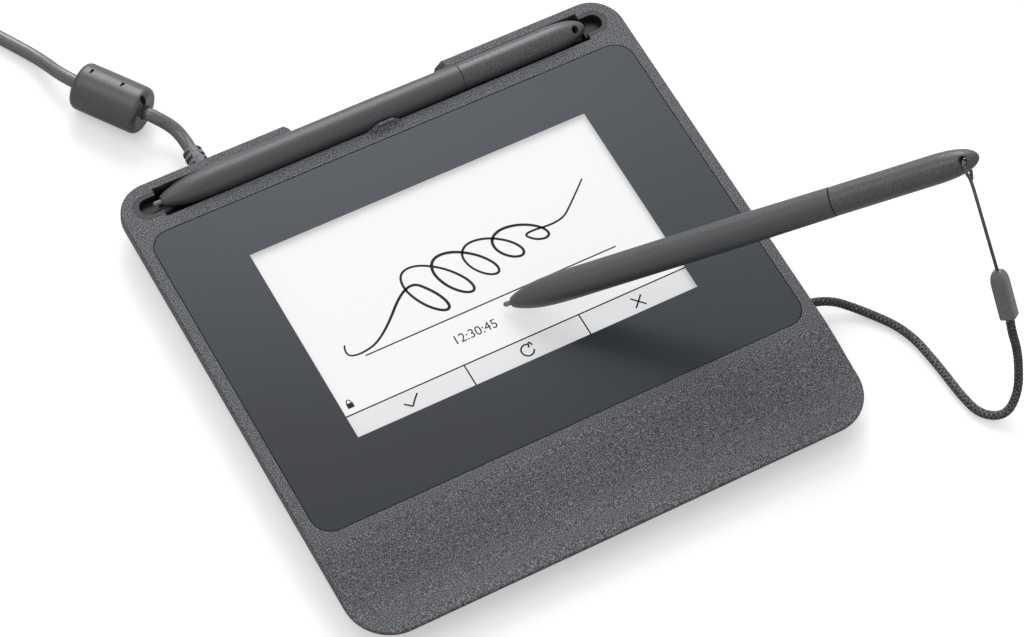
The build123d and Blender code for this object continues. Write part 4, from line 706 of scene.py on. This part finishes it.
band_foot = -33.2
ink_strip("signing_line", straight((-39.8, -10.0), (40.4, -10.0)), line_width)
ink_strip("band_line", straight((-54.7, band_y), (54.7, band_y)), line_width)
ink_strip("band_divider_left", straight((-16.8, band_y), (-16.8, band_foot)), line_width)
ink_strip("band_divider_right", straight((19.8, band_y), (19.8, band_foot)), line_width)

# The flourish: a pen-trial coil. A point runs round an oval that leans, narrows and moves on to
# the right, and a long lead-in and a rising tail join its two ends.
def coil_flourish(turns, points_per_loop):
    """Across: an even walk less a share of the sine of the angle, leant by the height. Up: an
    even climb less the half height times the cosine, and the half height shrinks evenly."""
    run = np.linspace(0, turns, int(turns * points_per_loop) + 1)
    share = run / turns
    angle = 2 * math.pi * run - 2.2
    half_height, half_width, lean = 9.5 - 5.5 * share, 5.5, 0.5
    swing = half_height * np.cos(angle)
    x = -20.0 + 44.0 * share - half_width * np.sin(angle) + lean * swing
    y = 1.0 + 4.5 * share - swing
    return np.column_stack([x, y])


lead_in = [(-43.5, -4.5), (-45.0, -7.6), (-41.0, -9.2), (-33.0, -7.4)]
tail = [(30.5, 4.0), (36.0, 8.0), (43.0, 14.0)]
flourish = np.concatenate([lead_in, coil_flourish(4.6, 8), tail])
ink_strip("flourish", flourish, [0.5, 0.8, 0.9, 0.68, 0.84, 0.92, 0.68, 0.8, 0.9, 0.68, 0.45])

tick = [(-37.6, -28.4), (-36.6, -29.0), (-35.6, -30.2), (-34.9, -29.0), (-32.6, -26.8)]
barb = [(2.0, -27.9), (2.5, -27.2), (2.4, -26.8), (3.1, -26.3), (3.4, -27.6)]
ink_strip("tick", tick, mark_width)
turn = np.radians(np.linspace(60, 345, 12))
arrow_round = np.column_stack([1.4 + 1.9 * np.cos(turn), -28.5 + 1.9 * np.sin(turn)])
ink_strip("turn_arrow", arrow_round, mark_width)
ink_strip("turn_arrow_barb", barb, mark_width)
ink_strip("cross_down", straight((35.4, -26.9), (38.8, -30.3)), mark_width)
ink_strip("cross_up", straight((35.4, -30.3), (38.8, -26.9)), mark_width)
page_plate("padlock_case", (-51.9, -22.9), (-49.9, -21.3), ink_level, ink)
arch = np.radians(np.linspace(-10, 190, 9))
bow = np.column_stack([-50.9 + 0.7 * np.cos(arch), -21.2 + 1.0 * np.sin(arch)])
ink_strip("padlock_bow", bow, bow_width)

clock_start = [(-16.0, -18.2)]
clock = bpy.data.curves.new("clock_digits", "FONT")
clock.body = "12:30:45"
clock.size = 4.1 * mm
clock_text = bpy.data.objects.new("clock_digits_outline", clock)
clock_mesh = bpy.data.meshes.new_from_object(clock_text)
bpy.data.objects.remove(clock_text)
place = np.empty(len(clock_mesh.vertices) * 3)
clock_mesh.vertices.foreach_get("co", place)
place = place.reshape(-1, 3) + on_page(clock_start, ink_level)
clock_mesh.vertices.foreach_set("co", place.ravel())
clock_mesh.materials.clear()
clock_mesh.materials.append(ink)
clock_digits = bpy.data.objects.new("clock_digits", clock_mesh)
scene.collection.objects.link(clock_digits)
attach(clock_digits, "pad")


# Behind the glass: a printed film and tape, the display panel with its backlight in a folded
# steel frame, the green sensor board that reads the pen, and a thin shield under it.
film_black = two_tone("film_black", "151617", "1f2021", 0.5, 900, relief=0, specular=0.4)
tape = two_tone("mounting_tape", "222324", "303133", 0.7, 700, relief=0, specular=0.3)
panel_glass = two_tone("panel_glass", "202428", "2a2f34", 0.15, 300, relief=0, specular=0.5)
light_guide = two_tone("light_guide", "d9dcdd", "eceeee", 0.4, 600, relief=0, specular=0.5)
dress("window_mask", film_black)
dress("glass_adhesive", tape)
dress("lcd_panel", panel_glass)
dress("backlight_unit", light_guide)
dress("lcd_frame", plain_metal("frame_steel", "9a9c9d", "bcbebf", 0.3, 800, 0.00003))
dress("shield_plate", plain_metal("shield_steel", "a7a9aa", "c4c6c6", 0.45, 500, 0.00003))


def circuit_board(name, mask, track):
    """Fibreglass board under green lacquer: fine lighter tracks from the edges of square cells."""
    material, nodes, links, shader, where = new_material(name, 0.35, 0.5)
    cells = nodes.new("ShaderNodeTexVoronoi")
    cells.distance = "MANHATTAN"
    cells.inputs["Scale"].default_value = 260
    links.new(where, cells.inputs["Vector"])
    ramp = nodes.new("ShaderNodeValToRGB")
    low, high = ramp.color_ramp.elements
    low.position, low.color = 0.42, colour_of(mask)
    high.position, high.color = 0.46, colour_of(track)
    links.new(cells.outputs["Distance"], ramp.inputs["Fac"])
    links.new(ramp.outputs["Color"], shader.inputs["Base Color"])
    add_bump(nodes, links, shader, cells.outputs["Distance"], 0.1, 0.00003)
    return material


board_green = circuit_board("board_green", "14502f", "1d6b41")
for board in ("sensor_board", "main_board", "writing_pen_board", "spare_pen_board"):
    dress(board, board_green)


# Electronics on the main board: black chips, ivory connectors, amber flat cables, and the short
# grey lead that comes in from the boot.
dress("board_chips", two_tone("chip_epoxy", "19191a", "232325", 0.5))
dress("board_connectors", two_tone("connector_nylon", "cfc9b8", "e2ddcf", 0.45))
flat_cable = two_tone("flat_cable", "8a5a1e", "a8742c", 0.3)
dress("lcd_flex", flat_cable)
dress("sensor_flex", flat_cable)
dress("usb_inner_lead", two_tone("inner_lead", "2a2b2c", "38393a", 0.4))


# Pens: a smooth satin front barrel with a grey nib that slides in it. Inside are the copper coil
# round its ferrite core, a force sensor behind the nib, and a board on its carrier.
front_satin = two_tone("pen_front", "3c3d3f", "47484b", 0.42, 1600, 0.00002, specular=0.6)
nib_grey = two_tone("nib_plastic", "636466", "828385", 0.25, 2500, 0.00002)
ferrite_grey = two_tone("ferrite_grey", "3b3c3e", "4a4b4d", 0.6, 1500)
carrier_black = two_tone("pen_carrier", "1c1c1d", "29292a", 0.5)
sensor_metal = plain_metal("sensor_metal", "9c9d9e", "b9babb", 0.3, 1500, 0.00002)
winding, nodes, links, shader, where = new_material("copper_winding", 0.3, 0.5)
shader.inputs["Metallic"].default_value = 1.0
turns = nodes.new("ShaderNodeTexWave")
turns.inputs["Scale"].default_value = 1500
turns.inputs["Distortion"].default_value = 0.5
links.new(where, turns.inputs["Vector"])
copper = nodes.new("ShaderNodeValToRGB")
copper.color_ramp.elements[0].color = colour_of("6e3516")
copper.color_ramp.elements[1].color = colour_of("c77b48")
links.new(turns.outputs["Fac"], copper.inputs["Fac"])
links.new(copper.outputs["Color"], shader.inputs["Base Color"])
add_bump(nodes, links, shader, turns.outputs["Fac"], 0.4, 0.00005)
for pen in ("writing_pen_", "spare_pen_"):
    dress(pen + "front_barrel", front_satin)
    dress(pen + "nib", nib_grey)
    dress(pen + "coil_core", ferrite_grey)
    dress(pen + "coil", winding)
    dress(pen + "sensor", sensor_metal)
    dress(pen + "chassis", carrier_black)


# Rear barrels: finely grained shells that plug into the front barrels and round off to a blunt
# point. A slanting eyelet with flared oval mouths goes through each near its end, for the tether.
rear_grain = grained_plastic(
    "pen_rear", "303133", "424346", "606165", 0.34, 0.00004, cells=3600, specular=0.55,
)
shell_start, joint, round_start, pen_length = 90, 98.2, 126, 140
barrel_radius, spigot_radius = 4.15, 3.15
bore_radius, bore_end = 2.55, 128
nick = 0.02
round_power = 2.7
eyelet_radius, eyelet_flare, eyelet_reach = 0.62, 1.1, 4.2
sharp_edge = math.radians(32)


def bullet_profile(rings):
    """Distance along the pen and radius, in millimetres: down the bore, round the spigot, over
    the step at the joint and along the barrel, whose radius then falls as the root of one less a
    power of the share of the way to its end."""
    bore = [
        (bore_end, 0.05), (bore_end, 1.3), (bore_end, bore_radius - nick / 2),
        (bore_end - nick, bore_radius), (110, bore_radius), (shell_start + nick, bore_radius),
    ]
    spigot = [
        (shell_start, bore_radius + nick / 2), (shell_start, spigot_radius - nick / 2),
        (shell_start + nick, spigot_radius), (joint - nick, spigot_radius),
        (joint, spigot_radius + nick), (joint, barrel_radius - 0.15),
        (joint + nick, barrel_radius - 0.13), (joint + 0.18, barrel_radius - 0.01),
    ]
    straight_run = np.linspace(joint + 0.4, round_start - 0.5, 20)
    barrel = [(distance, barrel_radius) for distance in straight_run]
    share = np.sin(np.linspace(0, math.pi / 2, rings))[:-1]
    rounding = np.column_stack([
        round_start + (pen_length - round_start) * share,
        barrel_radius * np.sqrt(1 - share ** round_power),
    ])
    return np.concatenate([bore, spigot, barrel, rounding, [(pen_length - 0.005, 0.1)]]).T


def rear_barrel(prefix, tip, along, hole_axis):
    """The profile carried round the pen's axis, less an eyelet whose radius grows with the cube
    of the distance from its middle, half as much again across the pen as along it."""
    distance, radius = bullet_profile(28)
    angle = np.linspace(0, 2 * math.pi, 72, endpoint=False)
    side = np.cross(along, hole_axis)
    spread = side * np.cos(angle)[:, None] + np.cross(along, side) * np.sin(angle)[:, None]
    middle = tip + distance[:, None] * mm * along
    body = middle[:, None] + spread[None] * radius[:, None, None] * mm
    shell = ring_skin(prefix + "rear_shell", body, distance * mm)
    depth = np.linspace(-5, 5, 41)[:, None]
    angle = np.linspace(0, 2 * math.pi, 40, endpoint=False)[None, :]
    outward = np.clip(np.abs(depth) / eyelet_reach, 0, 1)
    mouth = eyelet_radius + eyelet_flare * outward ** 3
    hole = mouth * (1 + 0.5 * outward * np.cos(angle) ** 2) * mm
    hole_line = tip + eyelet_distance * along + depth * mm * hole_axis
    cutter = tube_mesh(prefix + "eyelet", hole_line, hole, along)
    cut = shell.modifiers.new("eyelet", "BOOLEAN")
    cut.operation = "DIFFERENCE"
    cut.solver = "EXACT"
    cut.object = cutter
    bpy.context.view_layer.update()
    finished = shell.evaluated_get(bpy.context.evaluated_depsgraph_get())
    pierced = bpy.data.meshes.new_from_object(finished)
    shell.modifiers.clear()
    shell.data = pierced
    bpy.data.objects.remove(cutter)
    pierced.set_sharp_from_angle(angle=sharp_edge)
    pierced.materials.clear()
    pierced.materials.append(rear_grain)
    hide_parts(prefix + "rear_barrel")
    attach(shell, prefix.rstrip("_"))


rear_barrel("writing_pen_", pen_tip, pen_along, eyelet_axis)
low, high = (np.array(corner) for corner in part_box("spare_pen_rear_barrel"))
spare_axis = (low + high) / 2
spare_tip = np.array((low[0] - shell_start * mm, spare_axis[1], spare_axis[2]))
spare_hole = np.array((0.0, -0.5, math.sqrt(0.75)))
rear_barrel("spare_pen_", spare_tip, np.array((1.0, 0.0, 0.0)), spare_hole)


# Tether grommet: a soft moulded bush, pressed into the right wall where the thick cord leaves
# the case. It keeps the cord from wearing on the edge of the wall.
dress("tether_anchor", two_tone("grommet", "2c2d2e", "3a3b3c", 0.5))


# Strain relief and ferrite: the slotted rubber boot at the rear of the case, and the clip-on
# ferrite of two glossy half shells round its grey cores, which the cable runs through.
boot_rubber = grained_plastic("boot_rubber", "57585b", "77787c", "9fa0a4", 0.55, 0.00006, 3000)
dress("strain_relief", boot_rubber)
ferrite_shell = two_tone("ferrite_shell", "323336", "3f4043", 0.36, relief=0.00003, specular=0.7)
dress("ferrite_shell_lower", ferrite_shell)
dress("ferrite_shell_upper", ferrite_shell)
dress("ferrite_core_lower", ferrite_grey)
dress("ferrite_core_upper", ferrite_grey)


# Data plug: a grip moulded over the end of the cable, with a folded steel shell standing out of
# it. Inside the shell is a white tongue that carries the gilded contacts.
plug_grip = grained_plastic("plug_grip", "2b2c2d", "37383a", "47484a", 0.55, 0.00004, 2600)
dress("usb_plug_overmould", plug_grip)
dress("usb_plug_shell", plain_metal("plug_steel", "b4b6b7", "c6c8c8", 0.24, 500, 0.000003))
dress("usb_plug_tongue", two_tone("plug_tongue", "e4e4e2", "f2f2f0", 0.5))
dress("usb_plug_contacts", plain_metal("contact_gold", "b58a3c", "d8ad5a", 0.3, 1200, 0.00002))
